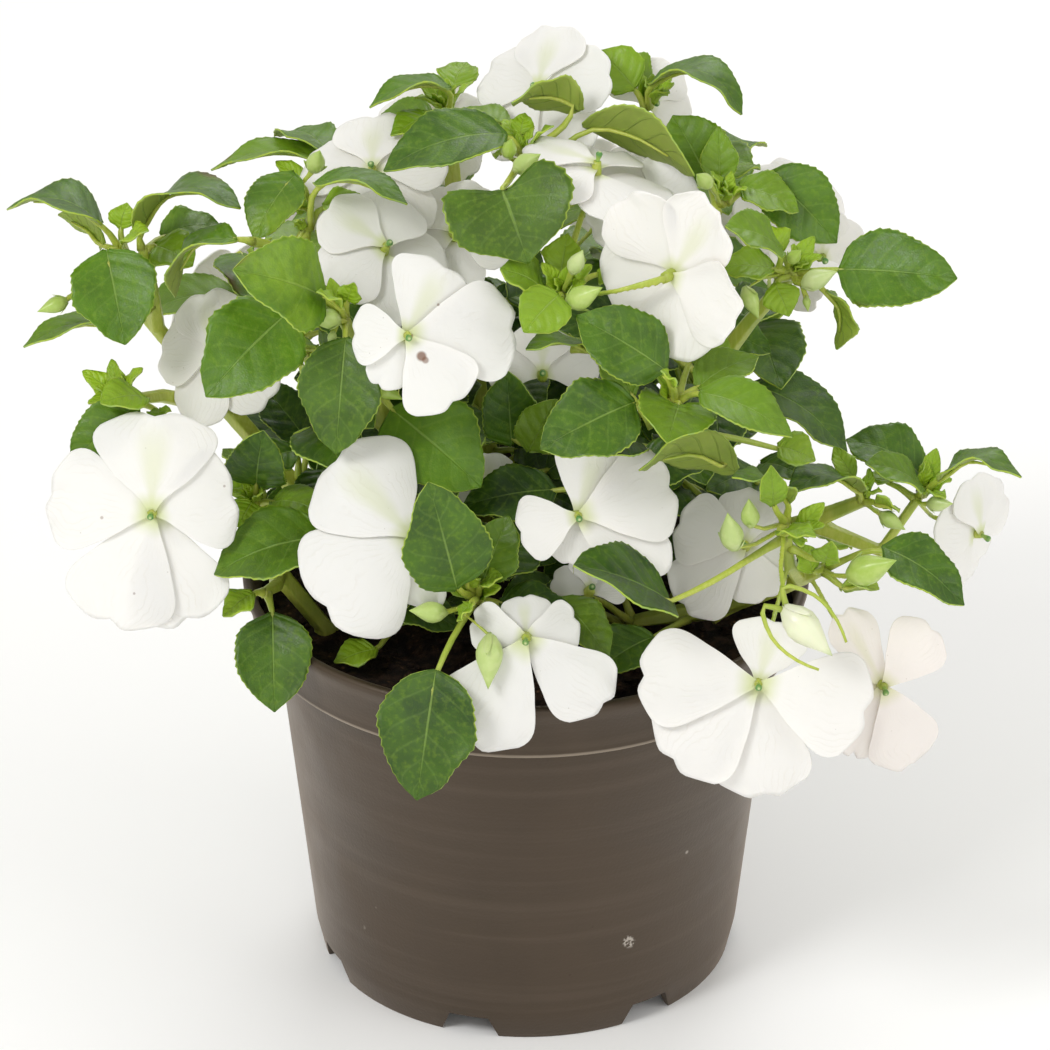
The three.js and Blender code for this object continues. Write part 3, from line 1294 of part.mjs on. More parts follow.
function placeLeaf(owner, stems, leaf) {
  for (const { size, turn, lift, shift, lower } of LEAF_TRIALS) {
    const base = leaf.base.clone().addScaledVector(TOWARD, shift);
    const reach = leaf.tip.clone().sub(leaf.base).multiplyScalar(size)
      .applyAxisAngle(leaf.looks, THREE.MathUtils.degToRad(turn))
      .addScaledVector(TOWARD, lift);
    const seat = seatOf(stems, base, lower);
    base.addScaledVector(reach.clone().normalize(), Math.max(0, STALK_SHORTEST - seat.distanceTo(base)));
    const trial = { ...leaf, base, tip: base.clone().add(reach), width: leaf.width * size };
    const { rows, notches, tip } = leafRows(trial, seat, GAP);
    const blade = stripSolid(rows.slice(1), notches.slice(1), tip, GAP);
    let blocked = crosses(blade, (other) => other.owner === owner && other.part === 'stem');
    blade.delete();
    if (!blocked) {
      const stalk = stripSolid(rows.slice(0, 2), [], null, GAP);
      const isOwnStem = (other) => other.owner === owner && (other.part === 'stem' || other.part === 'stalk');
      blocked = crosses(stalk, isOwnStem);
      stalk.delete();
    }
    if (!blocked) {
      const set = leafRows(trial, seat, 0);
      keep(stripSolid(set.rows.slice(1), set.notches.slice(1), set.tip, 0), owner, 'leaf');
      keep(stripSolid(set.rows.slice(0, 2), [], null, 0), owner, 'stalk');
      return stripSolid(set.rows, set.notches, set.tip, 0);
    }
  }
  return null;
}

// Leaves set round a stem by rule: each turns on by the golden angle and hangs a little lower.
function whorl(stem, count, random) {
  const leaves = [];
  for (let k = 0; k < count; k += 1) {
    const u = 1 - WHORL_STEP * k;
    const seat = middleOf(stem.curve, u);
    const swing = THREE.MathUtils.euclideanModulo(GOLDEN_ANGLE * k, 360) / 360 - 0.5;
    const turn = THREE.MathUtils.degToRad(WHORL_FIRST + WHORL_SPREAD * swing);
    const out = new THREE.Vector3(Math.cos(turn), Math.sin(turn), 0);
    const length = WHORL_LEAF * (0.85 + 0.3 * random());
    const rise = WHORL_RISE - WHORL_FALL * k;
    const heading = out.clone().setZ(rise).normalize();
    const droop = out.clone().setZ(rise - WHORL_DROOP).normalize();
    const base = seat.clone().addScaledVector(heading, WHORL_STALK);
    leaves.push({
      base,
      tip: base.clone().addScaledVector(droop, length),
      width: length * WHORL_WIDTH,
      looks: new THREE.Vector3(0, 0, 1).addScaledVector(out, WHORL_LEAN).normalize(),
      arch: WHORL_ARCH,
      outline: PLAIN,
    });
  }
  return leaves;
}

// Narrow leaves carry fewer teeth, and small ones a plain outline of few points.
function outlineFor(outline, width) {
  if (outline === TOOTHED && width < WIDE_LEAF) {
    return NARROW;
  }
  return outline === PLAIN && width < SMALL_LEAF ? YOUNG : outline;
}

// ------------------------------------------------------------------ the whole plant
function bloomSpecs() {
  const near = BLOOMS.map((row, i) => ({
    name: `bloom_${row.name}`,
    eye: spot(row.eye),
    looks: direction(row.looks),
    petals: row.petals ?? evenPetals(row.top, row.size).slice(0, row.size < SMALL_BLOOM ? 3 : 5),
    rows: row.petals ? PETAL_ROWS : SMALL_PETAL_ROWS,
    spurred: Boolean(row.petals) || row.name === 'far_right' || row.name === 'left_upper',
    phase: 70 * i,
  }));
  const far = FAR_BLOOMS.map(([eye, looks, size], i) => ({
    name: `bloom_far_side_${i + 1}`,
    eye: new THREE.Vector3(...eye),
    looks: new THREE.Vector3(...looks).normalize(),
    petals: evenPetals(90, size),
    rows: SMALL_PETAL_ROWS,
    spurred: false,
    phase: 50 * i,
  }));
  return [...near, ...far];
}

// A far stem stands plumb, bows up at its middle and ends at its crown.
function farPath([root, crown]) {
  const top = new THREE.Vector3(...crown);
  const knee = new THREE.Vector3(...root, SOIL_TOP).lerp(top, 0.5);
  knee.z += FAR_STEM_KNEE;
  return [knee, top];
}

function growStems() {
  const plants = new Map();
  for (const [name, plant] of Object.entries(STEMS)) {
    const owner = `stem_${name}`;
    const branches = plant.branches.map((branch) => branch.map(spot));
    plants.set(owner, { stems: growPlant(owner, plant.root, plant.path.map(spot), branches), parts: [] });
  }
  for (const [name, far] of Object.entries(FAR_STEMS)) {
    const owner = `stem_${name}`;
    plants.set(owner, { stems: growPlant(owner, far[0], farPath(far), []), parts: [] });
  }
  return plants;
}

// A bloom stands when a stalk reaches it; the stalk, and the spur if there is one, join that stem.
function hangBloom(bloom, plants) {
  const stems = [...plants.values()].flatMap((plant) => plant.stems);
  const end = bloom.back.clone().addScaledVector(bloom.looks, -CALYX_GAP);
  const stalk = stalkTo(end, bloom.looks, stems, CALYX_LEAD, CALYX_RADIUS);
  if (!stalk) {
    return false;
  }
  const { parts } = plants.get(stalk.owner);
  parts.push(stalk.solid);
  keep(stalk.solid, stalk.owner, 'stalk');
  const spur = bloom.spurred ? addSpur(bloom, stalk.owner) : null;
  if (spur) {
    parts.push(spur);
    keep(spur, stalk.owner, 'spur');
  }
  return true;
}

function setBuds(plants) {
  for (const [name, plant] of Object.entries(STEMS)) {
    const owner = `stem_${name}`;
    const { stems, parts } = plants.get(owner);
    for (const [base, tip] of plant.buds) {
      parts.push(...placeBud(owner, stems, spot(base), spot(tip)));
    }
  }
}

function setLeaves(plants) {
  const place = (owner, leaf) => {
    const { stems, parts } = plants.get(owner);
    const whole = placeLeaf(owner, stems, leaf);
    if (whole) {
      parts.push(whole);
    }
  };
  for (const [name, plant] of Object.entries(STEMS)) {
    for (const [base, tip, width, looks, arch, outline] of plant.leaves) {
      const ends = { base: spot(base), tip: spot(tip) };
      const form = { width, arch, looks: direction(looks), outline: outlineFor(outline, width) };
      place(`stem_${name}`, { ...ends, ...form });
    }
  }
  const random = randomFrom(SEED);
  for (const [name, [, , count]] of Object.entries(FAR_STEMS)) {
    const owner = `stem_${name}`;
    for (const leaf of whorl(plants.get(owner).stems[0], count, random)) {
      place(owner, leaf);
    }
  }
}

// What is placed first keeps its place: pot and soil, blooms, stems, stalks, buds and leaves.
function growAll() {
  keep(potSolid(), 'pot', 'pot');
  keep(soilSolid(STEM_FEET), 'soil', 'soil');
  const blooms = bloomSpecs().map(placeBloom).filter(Boolean);
  const plants = growStems();
  const standing = blooms.filter((bloom) => hangBloom(bloom, plants));
  setBuds(plants);
  setLeaves(plants);
  return { standing, plants };
}

const STEM_FEET = [
  ...Object.values(STEMS).map(({ root }) => root),
  ...Object.values(FAR_STEMS).map(([root]) => root),
];
const busyLizzie = new THREE.Group();
const { standing, plants } = growAll();
busyLizzie.add(meshOf('pot', potSolid(), COLOURS.pot, ROUGHNESS.pot));
busyLizzie.add(meshOf('soil', soilSolid(STEM_FEET), COLOURS.soil, ROUGHNESS.soil));
for (const [owner, { stems, parts }] of plants) {
  const whole = joined([...stems.map((stem) => stem.solid), ...parts]);
  busyLizzie.add(meshOf(owner, largestBody(whole, STEM_FUSE_TOLERANCE), COLOURS.green, ROUGHNESS.green));
}
for (const bloom of standing) {
  const whole = largestBody(bloom.solid, FUSE_TOLERANCE);
  busyLizzie.add(meshOf(bloom.name, whole, COLOURS.petal, ROUGHNESS.petal));
}

export default busyLizzie;
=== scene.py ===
# %% [markdown]
# # A busy lizzie in its nursery pot
#
# A young busy lizzie is a mound of juicy stems, toothed satin leaves and flat white flowers, grown in a thin
# moulded pot. The solid model says where every stem, leaf and petal is, with few and thick faces. This lesson
# reads those places and puts a finer, thinner and softer piece in each of them, so the plant keeps its form.
# The other way would be to grow a new plant here, but then the solids and the looks would drift apart.

# %% Start from the solid model
import math
import random

import bmesh
import bpy
import numpy as np
from mathutils import Matrix, Vector, noise
from mathutils.bvhtree import BVHTree


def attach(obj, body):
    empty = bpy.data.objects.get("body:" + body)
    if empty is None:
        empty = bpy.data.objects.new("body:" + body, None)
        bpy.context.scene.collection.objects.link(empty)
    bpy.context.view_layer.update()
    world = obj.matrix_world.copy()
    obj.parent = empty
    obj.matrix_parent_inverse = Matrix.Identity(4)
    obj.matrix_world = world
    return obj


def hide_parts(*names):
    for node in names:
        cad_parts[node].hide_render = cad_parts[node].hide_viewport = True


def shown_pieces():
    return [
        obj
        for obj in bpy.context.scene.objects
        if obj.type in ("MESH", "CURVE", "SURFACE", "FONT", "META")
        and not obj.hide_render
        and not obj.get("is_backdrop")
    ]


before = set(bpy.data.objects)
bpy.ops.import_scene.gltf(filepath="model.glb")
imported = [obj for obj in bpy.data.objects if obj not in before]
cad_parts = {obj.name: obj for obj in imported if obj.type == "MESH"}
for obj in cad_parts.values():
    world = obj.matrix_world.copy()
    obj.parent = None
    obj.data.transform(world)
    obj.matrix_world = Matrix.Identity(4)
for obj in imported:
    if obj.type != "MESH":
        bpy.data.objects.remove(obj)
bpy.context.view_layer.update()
MM = 0.001
print("solid nodes:", len(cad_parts))


# %% [markdown]
# ## Small helpers
#
# Most operators act on whatever is selected, so every step first picks its own piece. A few short helpers
# keep the later cells readable: they pick, add a plain form, apply modifiers, join, and read or write points.

# %% Helpers for picking, editing and joining
def pick(*pieces):
    bpy.ops.object.select_all(action="DESELECT")
    for piece in pieces:
        piece.select_set(True)
    bpy.context.view_layer.objects.active = pieces[0]


def added(name, operator, **settings):
    bpy.ops.object.select_all(action="DESELECT")
    operator(**settings)
    piece = bpy.context.active_object
    piece.name = name
    return piece


def apply_modifiers(piece):
    pick(piece)
    for modifier in list(piece.modifiers):
        bpy.ops.object.modifier_apply(modifier=modifier.name)


def join(pieces, name):
    pick(*pieces)
    if len(pieces) > 1:
        bpy.ops.object.join()
    whole = bpy.context.view_layer.objects.active
    whole.name = name
    whole.data.name = name
    return whole


def points_of(piece):
    flat = np.empty(len(piece.data.vertices) * 3)
    piece.data.vertices.foreach_get("co", flat)
    return flat.reshape(-1, 3)


def put_points(piece, points):
    piece.data.vertices.foreach_set("co", np.asarray(points, float).ravel())
    piece.data.update()


def unit(vectors):
    vectors = np.asarray(vectors, float)
    return vectors / np.maximum(np.linalg.norm(vectors, axis=-1, keepdims=True), 1e-12)


def copy_of(master, name, points):
    piece = bpy.data.objects.new(name, master.data.copy())
    bpy.context.scene.collection.objects.link(piece)
    put_points(piece, points)
    return piece


# %% [markdown]
# ## The camera
#
# The plant is looked down on from about thirty degrees, from far enough away that the pot's sides stay nearly
# straight. A long lens brings it near again.

# %% Camera
EYE_RISE = math.radians(28.9)
EYE_DISTANCE = 1.5
EYE_AIM = Vector((0.0, 0.0, 0.1))
EYE_LENS = 243.8
EYE_SENSOR = 36
EYE_REACH = 20
IMAGE_SIZE = 1050
AIM_PIXEL = 526

camera_data = bpy.data.cameras.new("eye")
camera_data.lens = EYE_LENS
camera_data.sensor_width = EYE_SENSOR
camera_data.shift_x = (IMAGE_SIZE / 2 - AIM_PIXEL) / IMAGE_SIZE
camera_data.clip_end = EYE_REACH
camera = bpy.data.objects.new("eye", camera_data)
bpy.context.scene.collection.objects.link(camera)
away = Vector((0, -math.cos(EYE_RISE), math.sin(EYE_RISE)))
camera.location = EYE_AIM + away * EYE_DISTANCE
camera.rotation_mode = "QUATERNION"
camera.rotation_quaternion = away.to_track_quat("Z", "Y")
bpy.context.scene.camera = camera
print("the eye stands at:", [round(value, 3) for value in camera.location])


# %% [markdown]
# ## Places as the eye meets them
#
# A single spot, such as a bruise on a petal, is easiest to name by where the eye meets it: in millimetres
# across and up from the point that the eye is aimed at, on a face that is square to the sight. One function
# goes from such a place to the point in space that lies a given way behind the pot's axis, and the other goes
# from a point to its place. Both allow for near things looking larger.

# %% Places as the eye meets them
def slanted(across, up, back=0.0):
    rise, fall, far = math.sin(EYE_RISE), math.cos(EYE_RISE), EYE_DISTANCE / MM
    near = (up * rise - back) / (fall + up * rise / far)
    scale = 1 - near / far
    return EYE_AIM + (Vector((across, up * rise, up * fall)) * scale + away * near) * MM


def as_seen(point):
    offset = (Vector(point) - EYE_AIM) / MM
    scale = 1 - offset.dot(away) / (EYE_DISTANCE / MM)
    up = offset.y * math.sin(EYE_RISE) + offset.z * math.cos(EYE_RISE)
    return offset.x / scale, up / scale


print("the middle of the pot's foot, across and up:", [round(value, 1) for value in as_seen((0, 0, 0))])


# %% [markdown]
# ## The lights and the room
#
# A soft light high on the left gives the leaves their satin sheen, and one behind draws the edges of the
# petals. A wide light on the right, a low one in front and a bright room fill the shadows between the leaves.
# Round soft lights are used because a glossy stem mirrors them as it would mirror a window or a lamp.

# %% Lights and room
def soft_light(name, place, size, watts):
    data = bpy.data.lights.new(name, "AREA")
    data.shape = "DISK"
    data.size = size
    data.energy = watts
    light = bpy.data.objects.new(name, data)
    light.location = place
    aim = Vector(place) - EYE_AIM
    light.rotation_mode = "QUATERNION"
    light.rotation_quaternion = aim.to_track_quat("Z", "Y")
    bpy.context.scene.collection.objects.link(light)


# name: place in metres, width in metres, power in watts
LIGHTS = {
    "key_light": ((-0.75, -0.75, 1.15), 0.5, 9.3),
    "front_light": ((0.15, -1.5, 0.55), 0.9, 3.0),
    "side_light": ((1.1, -0.5, 0.7), 0.9, 4.0),
    "back_light": ((0.2, 1.0, 1.0), 0.8, 5.2),
}
for name, settings in LIGHTS.items():
    soft_light(name, *settings)

ROOM_COLOUR = (1.0, 0.985, 0.96, 1.0)
ROOM_STRENGTH = 0.58
room = bpy.data.worlds.new("pale_room")
room.use_nodes = True
backdrop = room.node_tree.nodes["Background"]
backdrop.inputs["Color"].default_value = ROOM_COLOUR
backdrop.inputs["Strength"].default_value = ROOM_STRENGTH
bpy.context.scene.world = room
bpy.context.scene.view_settings.view_transform = "Standard"
print("lights:", len(LIGHTS))

# %% [markdown]
# ## A shorthand for finishes
#
# Each finish is a small graph of nodes: patterns are made from the place on the piece, mixed to colours, and
# given to one shader. The class below only shortens the wiring, so that a finish reads from top to bottom.
# What a single leaf or petal has of its own is written on its points, as the shares of one colour.


# %% Wiring helper
MARKS = "leaf_marks"


def paint(red, green, blue):
    def linear(value):
        share = value / 255
        return share / 12.92 if share <= 0.04045 else ((share + 0.055) / 1.055) ** 2.4

    return (linear(red), linear(green), linear(blue), 1.0)


class Finish:
    def __init__(self, name, **shader_values):
        self.material = bpy.data.materials.new(name)
        self.material.use_nodes = True
        self.nodes = self.material.node_tree.nodes
        self.shader = self.nodes["Principled BSDF"]
        for socket, value in shader_values.items():
            self.shader.inputs[socket.replace("_", " ")].default_value = value

    def wire(self, value, socket):
        if isinstance(value, bpy.types.NodeSocket):
            self.material.node_tree.links.new(value, socket)
        else:
            socket.default_value = value

    def to(self, socket_name, value):
        self.wire(value, self.shader.inputs[socket_name])

    def place(self):
        return self.nodes.new("ShaderNodeTexCoord").outputs["Object"]

    def own_map(self):
        split = self.nodes.new("ShaderNodeSeparateXYZ")
        self.wire(self.nodes.new("ShaderNodeTexCoord").outputs["UV"], split.inputs[0])
        return split.outputs["X"], split.outputs["Y"]

    def marks(self):
        node = self.nodes.new("ShaderNodeAttribute")
        node.attribute_name = MARKS
        split = self.nodes.new("ShaderNodeSeparateColor")
        self.wire(node.outputs["Color"], split.inputs[0])
        return split.outputs

    def parts(self, vector):
        node = self.nodes.new("ShaderNodeSeparateXYZ")
        self.wire(vector, node.inputs[0])
        return node.outputs

    def math(self, operation, *values):
        node = self.nodes.new("ShaderNodeMath")
        node.operation = operation
        for socket, value in zip(node.inputs, values):
            self.wire(value, socket)
        return node.outputs[0]

    def times(self, first, *others):
        for other in others:
            first = self.math("MULTIPLY", first, other)
        return first

    def plus(self, first, second):
        return self.math("ADD", first, second)

    def minus(self, first, second):
        return self.math("SUBTRACT", first, second)

    def span(self, value, low, high, out_low=0.0, out_high=1.0):
        node = self.nodes.new("ShaderNodeMapRange")
        node.interpolation_type = "SMOOTHSTEP"
        for socket, number in zip(node.inputs, (value, low, high, out_low, out_high)):
            self.wire(number, socket)
        return node.outputs[0]

    def noise(self, vector, scale, detail=2.0, rough=0.5):
        node = self.nodes.new("ShaderNodeTexNoise")
        for name, value in (("Vector", vector), ("Scale", scale), ("Detail", detail), ("Roughness", rough)):
            self.wire(value, node.inputs[name])
        return node.outputs[0]

    def cells(self, vector, scale):
        node = self.nodes.new("ShaderNodeTexVoronoi")
        self.wire(vector, node.inputs["Vector"])
        self.wire(scale, node.inputs["Scale"])
        return node.outputs[0]

    def mix(self, share, first, second):
        node = self.nodes.new("ShaderNodeMix")
        node.data_type = "RGBA"
        for socket, value in zip((node.inputs[0], node.inputs[6], node.inputs[7]), (share, first, second)):
            self.wire(value, socket)
        return node.outputs[2]

    def stretched(self, vector, scale):
        node = self.nodes.new("ShaderNodeMapping")
        node.inputs["Scale"].default_value = scale
        self.wire(vector, node.inputs["Vector"])
        return node.outputs[0]

    def math3(self, operation, first, second, output="Vector"):
        node = self.nodes.new("ShaderNodeVectorMath")
        node.operation = operation
        self.wire(first, node.inputs[0])
        self.wire(second, node.inputs[1])
        return node.outputs[output]

    def rod_mark(self, place, across, up, radius):
        offset = self.math3("SUBTRACT", place, slanted(across, up))
        aside = self.math3("CROSS_PRODUCT", offset, away)
        return self.span(self.math3("LENGTH", aside, (0, 0, 0), "Value"), radius * MM, radius * 0.5 * MM)

    def bump(self, height, distance, strength=1.0):
        node = self.nodes.new("ShaderNodeBump")
        node.inputs["Distance"].default_value = distance
        node.inputs["Strength"].default_value = strength
        self.wire(height, node.inputs["Height"])
        self.to("Normal", node.outputs[0])


# %% [markdown]
# ## The table
#
# Only a pale smooth surface under the pot. A plane of one face is enough: it isn't part of the plant.

# %% Table top
TABLE_SIZE = 6
TABLE_WHITE = paint(250, 250, 249)

table = added("table_top", bpy.ops.mesh.primitive_plane_add, size=TABLE_SIZE)
table_finish = Finish("pale_table", Roughness=0.6)
table_finish.to("Base Color", TABLE_WHITE)
table.data.materials.append(table_finish.material)
table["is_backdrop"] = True

# %% [markdown]
# ## Reading the blades
#
# In the solids every leaf and petal is a thin strip, and the strip's rim tells its side by its thickness:
# 0.70 mm on the left, 0.76 mm on the right and 0.73 mm at the tip. Starting from a tip, the two rims are
# followed row by row down to the stalk. Where a neighbour has grown through one rim, the other is mirrored
# across the blade, and the nearest edges of the right thickness are taken. The result is a ladder of places,
# left, middle and right, that a smooth surface can be drawn through. Nothing else has rims of this thickness.

# %% Tell the rims by their thickness
WELD = 0.001 * MM
LEFT_RIM, RIGHT_RIM, TIP_RIM = 0.70 * MM, 0.76 * MM, 0.73 * MM
RIM_SLACK = 0.0012 * MM


def welded(node):
    solid = bmesh.new()
    solid.from_mesh(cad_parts[node].data)
    bmesh.ops.remove_doubles(solid, verts=solid.verts, dist=WELD)
    return solid


def rim_marks(solid):
    marks = {}
    for edge in solid.edges:
        for rim in (LEFT_RIM, RIGHT_RIM, TIP_RIM):
            if abs(edge.calc_length() - rim) < RIM_SLACK:
                marks[edge] = rim
    return marks


# %% Follow one rim from the tip down
def next_row(pair, marks, rim, used):
    near, far = pair
    beyond_far = {rung.other_vert(far) for rung in far.link_edges}
    for rung in near.link_edges:
        corner = rung.other_vert(near)
        for edge in corner.link_edges:
            partner = edge.other_vert(corner)
            fits = marks.get(edge) == rim and edge not in used
            if fits and corner not in pair and partner not in pair and partner in beyond_far:
                used.add(edge)
                return corner, partner
    return None


def rim_down(tip_pair, marks, rim):
    rows, used = [], set()
    row = next_row(tip_pair, marks, rim, used)
    while row:
        rows.append(row)
        row = next_row(row, marks, rim, used)
    return rows[::-1]


# %% Find a rim that a neighbour has grown through
MIRROR_REACH = 4.5 * MM


def middle_of_pair(pair):
    return (pair[0].co + pair[1].co) / 2


def mirrored_rim(known, tip, marks, rim):
    rows = []
    axis = (tip - middle_of_pair(known[0])).normalized()
    edges = [edge for edge in marks if marks[edge] == rim]
    for pair in known:
        thickness = pair[1].co - pair[0].co
        aside = axis.cross(thickness).normalized()
        place = middle_of_pair(pair)
        mirrored = place - aside * 2 * (place - tip).dot(aside)
        nearest = min(edges, key=lambda edge: (middle_of_pair(edge.verts) - mirrored).length)
        if (middle_of_pair(nearest.verts) - mirrored).length > MIRROR_REACH:
            return []
        near, far = nearest.verts
        rows.append((near, far) if (far.co - near.co).dot(thickness) > 0 else (far, near))
    return rows


# %% Read every blade of a solid
# corners along a rim: those of them that make the rows of the ladder
LEAF_ROWS = {2: (0, 1), 3: (0, 1, 2), 5: (0, 1, 3), 7: (0, 1, 3, 5)}
PETAL_ROWS = {3: (0, 1, 2), 4: (0, 1, 2, 3)}


def middle_of(left, right, forward, blade_corners):
    found = []
    level = (left[0].co + left[1].co + right[0].co + right[1].co) / 4
    for side in (0, 1):
        beside_left = {rung.other_vert(left[side]) for rung in left[side].link_edges}
        beside_right = {rung.other_vert(right[side]) for rung in right[side].link_edges}
        shared = [v for v in beside_left & beside_right if v not in blade_corners]
        if shared:
            found.append(min(shared, key=lambda v: abs((v.co - level).dot(forward))))
    return found


def blades_in(solid, row_kinds):
    marks = rim_marks(solid)
    blades = []
    for edge, rim in marks.items():
        if rim != TIP_RIM:
            continue
        tip_pair = tuple(edge.verts)
        left = rim_down(tip_pair, marks, LEFT_RIM)
        right = rim_down(tip_pair, marks, RIGHT_RIM)
        tip = middle_of_pair(tip_pair)
        if left and not right:
            right = mirrored_rim(left, tip, marks, RIGHT_RIM)
        elif right and not left:
            left = mirrored_rim(right, tip, marks, LEFT_RIM)
        if len(left) != len(right) or len(left) not in row_kinds:
            continue
        foot = (left[0][0].co + left[0][1].co + right[0][0].co + right[0][1].co) / 4
        forward = (tip - foot).normalized()
        corners = {v for pair in [tip_pair, *left, *right] for v in pair}
        rows = []
        for i in row_kinds[len(left)]:
            sides = [middle_of_pair(pair) for pair in (left[i], right[i])]
            middles = middle_of(left[i], right[i], forward, corners) if i else []
            middle = (sides[0] + sides[1]) / 2
            if len(middles) == 2:
                middle = (middles[0].co + middles[1].co) / 2
            corners.update(middles)
            rows.append([sides[0], middle, sides[1]])
        beside_foot = {
            rung.other_vert(v) for pair in (left[0], right[0]) for v in pair for rung in v.link_edges
        } - corners
        seat = sum((v.co for v in beside_foot), Vector()) / max(len(beside_foot), 1)
        blades.append({
            "rows": np.array(rows), "tip": np.array(tip), "foot": np.array(foot),
            "seat": np.array(seat), "corners": corners,
        })
    return blades


front_stem = welded("stem_front")
print("leaves on the front stem:", len(blades_in(front_stem, LEAF_ROWS)))
front_stem.free()

# %% [markdown]
# ## A smooth surface through the ladder
#
# A leaf bends smoothly between the few rows of its solid. So a curve is drawn through the left, the middle
# and the right places, and across the blade a shallow arc joins the three. Any point of a flat master blade
# can then be carried onto the real one: `across` runs from -1 at the left rim to 1 at the right, `along` from
# 0 at the stalk to 1 at the tip, and what stands up from the flat master stands up from the surface. The
# surface's slope is read a short step ahead of a point and behind it.


# %% Curves and the surface
SLOPE_STEP = 0.004


def curve_through(knots, places, at):
    knots = np.asarray(knots, float)
    shape = (-1,) + (1,) * (places.ndim - 1)
    gaps = np.diff(knots).reshape(shape)
    slopes = np.diff(places, axis=0) / gaps
    inner = (slopes[1:] * gaps[:-1] + slopes[:-1] * gaps[1:]) / (gaps[:-1] + gaps[1:])
    tangents = np.concatenate([slopes[:1], inner, slopes[-1:]])
    i = np.clip(np.searchsorted(knots, at, side="right") - 1, 0, len(knots) - 2)
    gap = (knots[i + 1] - knots[i])[:, None]
    u = (np.asarray(at)[:, None] - knots[i][:, None]) / gap
    start, end = places[i], places[i + 1]
    leave, arrive = tangents[i] * gap, tangents[i + 1] * gap
    return (
        (2 * u**3 - 3 * u**2 + 1) * start + (u**3 - 2 * u**2 + u) * leave
        + (3 * u**2 - 2 * u**3) * end + (u**3 - u**2) * arrive
    )


def knots_of(rows):
    steps = np.linalg.norm(np.diff(rows, axis=0), axis=-1).mean(axis=1)
    total = np.concatenate([[0], np.cumsum(steps)])
    return total / total[-1]


def carry(rows, across, along, height):
    knots = knots_of(rows)

    def surface(at):
        left, middle, right = (curve_through(knots, rows[:, k], at) for k in range(3))
        return middle, (right - left) / 2, (left + right) / 2 - middle

    s = across[:, None]
    middle, half, cup = surface(along)
    place = middle + s * half + s**2 * cup
    ahead, ahead_half, ahead_cup = surface(along + SLOPE_STEP)
    behind, behind_half, behind_cup = surface(along - SLOPE_STEP)
    forward = ahead - behind + s * (ahead_half - behind_half) + s**2 * (ahead_cup - behind_cup)
    upward = unit(np.cross(half + 2 * s * cup, forward))
    return place + upward * height[:, None]


# %% [markdown]
# ## The master leaf
#
# A busy lizzie leaf is oval and pointed. Its margin has small rounded teeth, the midrib is sunk in the upper
# side, and about five pairs of side veins sweep forward from it with the blade puffed up between them. One
# flat leaf is modelled from a grid: the columns are drawn together at the midrib and the rim, every second
# rim point is pulled out to a tooth, the veins are pressed down, and a thickness is added. Two simpler ones
# with fewer faces serve for young leaves and for tufts.

# %% Model the flat leaf
LEAF_THICKNESS = 0.36 * MM
VEIN_PAIRS = 6.0
VEIN_SWEEP = 0.27
VEIN_CURVE = 1.25
MIDRIB_DEPTH = 0.22 * MM
PUFF = 0.15 * MM
TOOTH_OUT = 0.026
TOOTH_FORWARD = 0.4
LEAF_COLUMNS = (-1, -0.9, -0.7, -0.42, -0.15, 0, 0.15, 0.42, 0.7, 0.9, 1)
YOUNG_COLUMNS = (-1, -0.72, -0.35, 0, 0.35, 0.72, 1)
TUFT_COLUMNS = (-1, -0.5, 0, 0.5, 1)
LEAF_STEPS, YOUNG_STEPS, TUFT_STEPS = 32, 16, 8


def flat_grid(name, columns, steps):
    grid_add = bpy.ops.mesh.primitive_grid_add
    grid = added(name, grid_add, x_subdivisions=len(columns) - 1, y_subdivisions=steps, size=2)
    points = points_of(grid)
    column = np.rint((points[:, 0] + 1) / 2 * (len(columns) - 1)).astype(int)
    points[:, 0] = np.asarray(columns)[column]
    points[:, 1] = (points[:, 1] + 1) / 2
    put_points(grid, points)
    return grid, points


def master_leaf(name, columns, steps):
    leaf, points = flat_grid(name, columns, steps)
    across, along = points[:, 0].copy(), points[:, 1].copy()
    row = np.rint(along * steps).astype(int)
    rim = np.abs(across) > 0.99
    tooth = rim & (row % 2 == 1) & (row > 1)
    size = 0.6 + 0.8 * ((row + (across > 0) * 0.4) * 0.618 % 1)
    points[tooth, 0] *= 1 + TOOTH_OUT * size[tooth]
    points[tooth, 1] += TOOTH_FORWARD / steps
    points[rim & ~tooth, 0] *= 1 - TOOTH_OUT / 2
    vein = (along - VEIN_SWEEP * np.abs(across) ** VEIN_CURVE) * VEIN_PAIRS
    fade = np.clip((1 - np.abs(across)) * 4, 0, 1) * np.clip((1 - along) * 5, 0, 1)
    points[:, 2] = -PUFF * np.cos(2 * math.pi * vein) * fade * (np.abs(across) > 0.05)
    points[:, 2] -= MIDRIB_DEPTH * (np.abs(across) < 0.05) * np.clip((1 - along) * 3, 0, 1)
    put_points(leaf, points)
    for _ in ("upper side", "under side", "margin"):
        leaf.data.materials.append(None)
    wall = leaf.modifiers.new("thickness", "SOLIDIFY")
    wall.thickness = LEAF_THICKNESS
    wall.offset = 0
    wall.material_offset = 1
    wall.material_offset_rim = 2
    apply_modifiers(leaf)
    bpy.ops.object.shade_smooth()
    return leaf


full_leaf = master_leaf("flat_leaf", LEAF_COLUMNS, LEAF_STEPS)
young_leaf = master_leaf("flat_young_leaf", YOUNG_COLUMNS, YOUNG_STEPS)
tuft_leaf = master_leaf("flat_tuft_leaf", TUFT_COLUMNS, TUFT_STEPS)
print("leaf faces:", [len(leaf.data.polygons) for leaf in (full_leaf, young_leaf, tuft_leaf)])

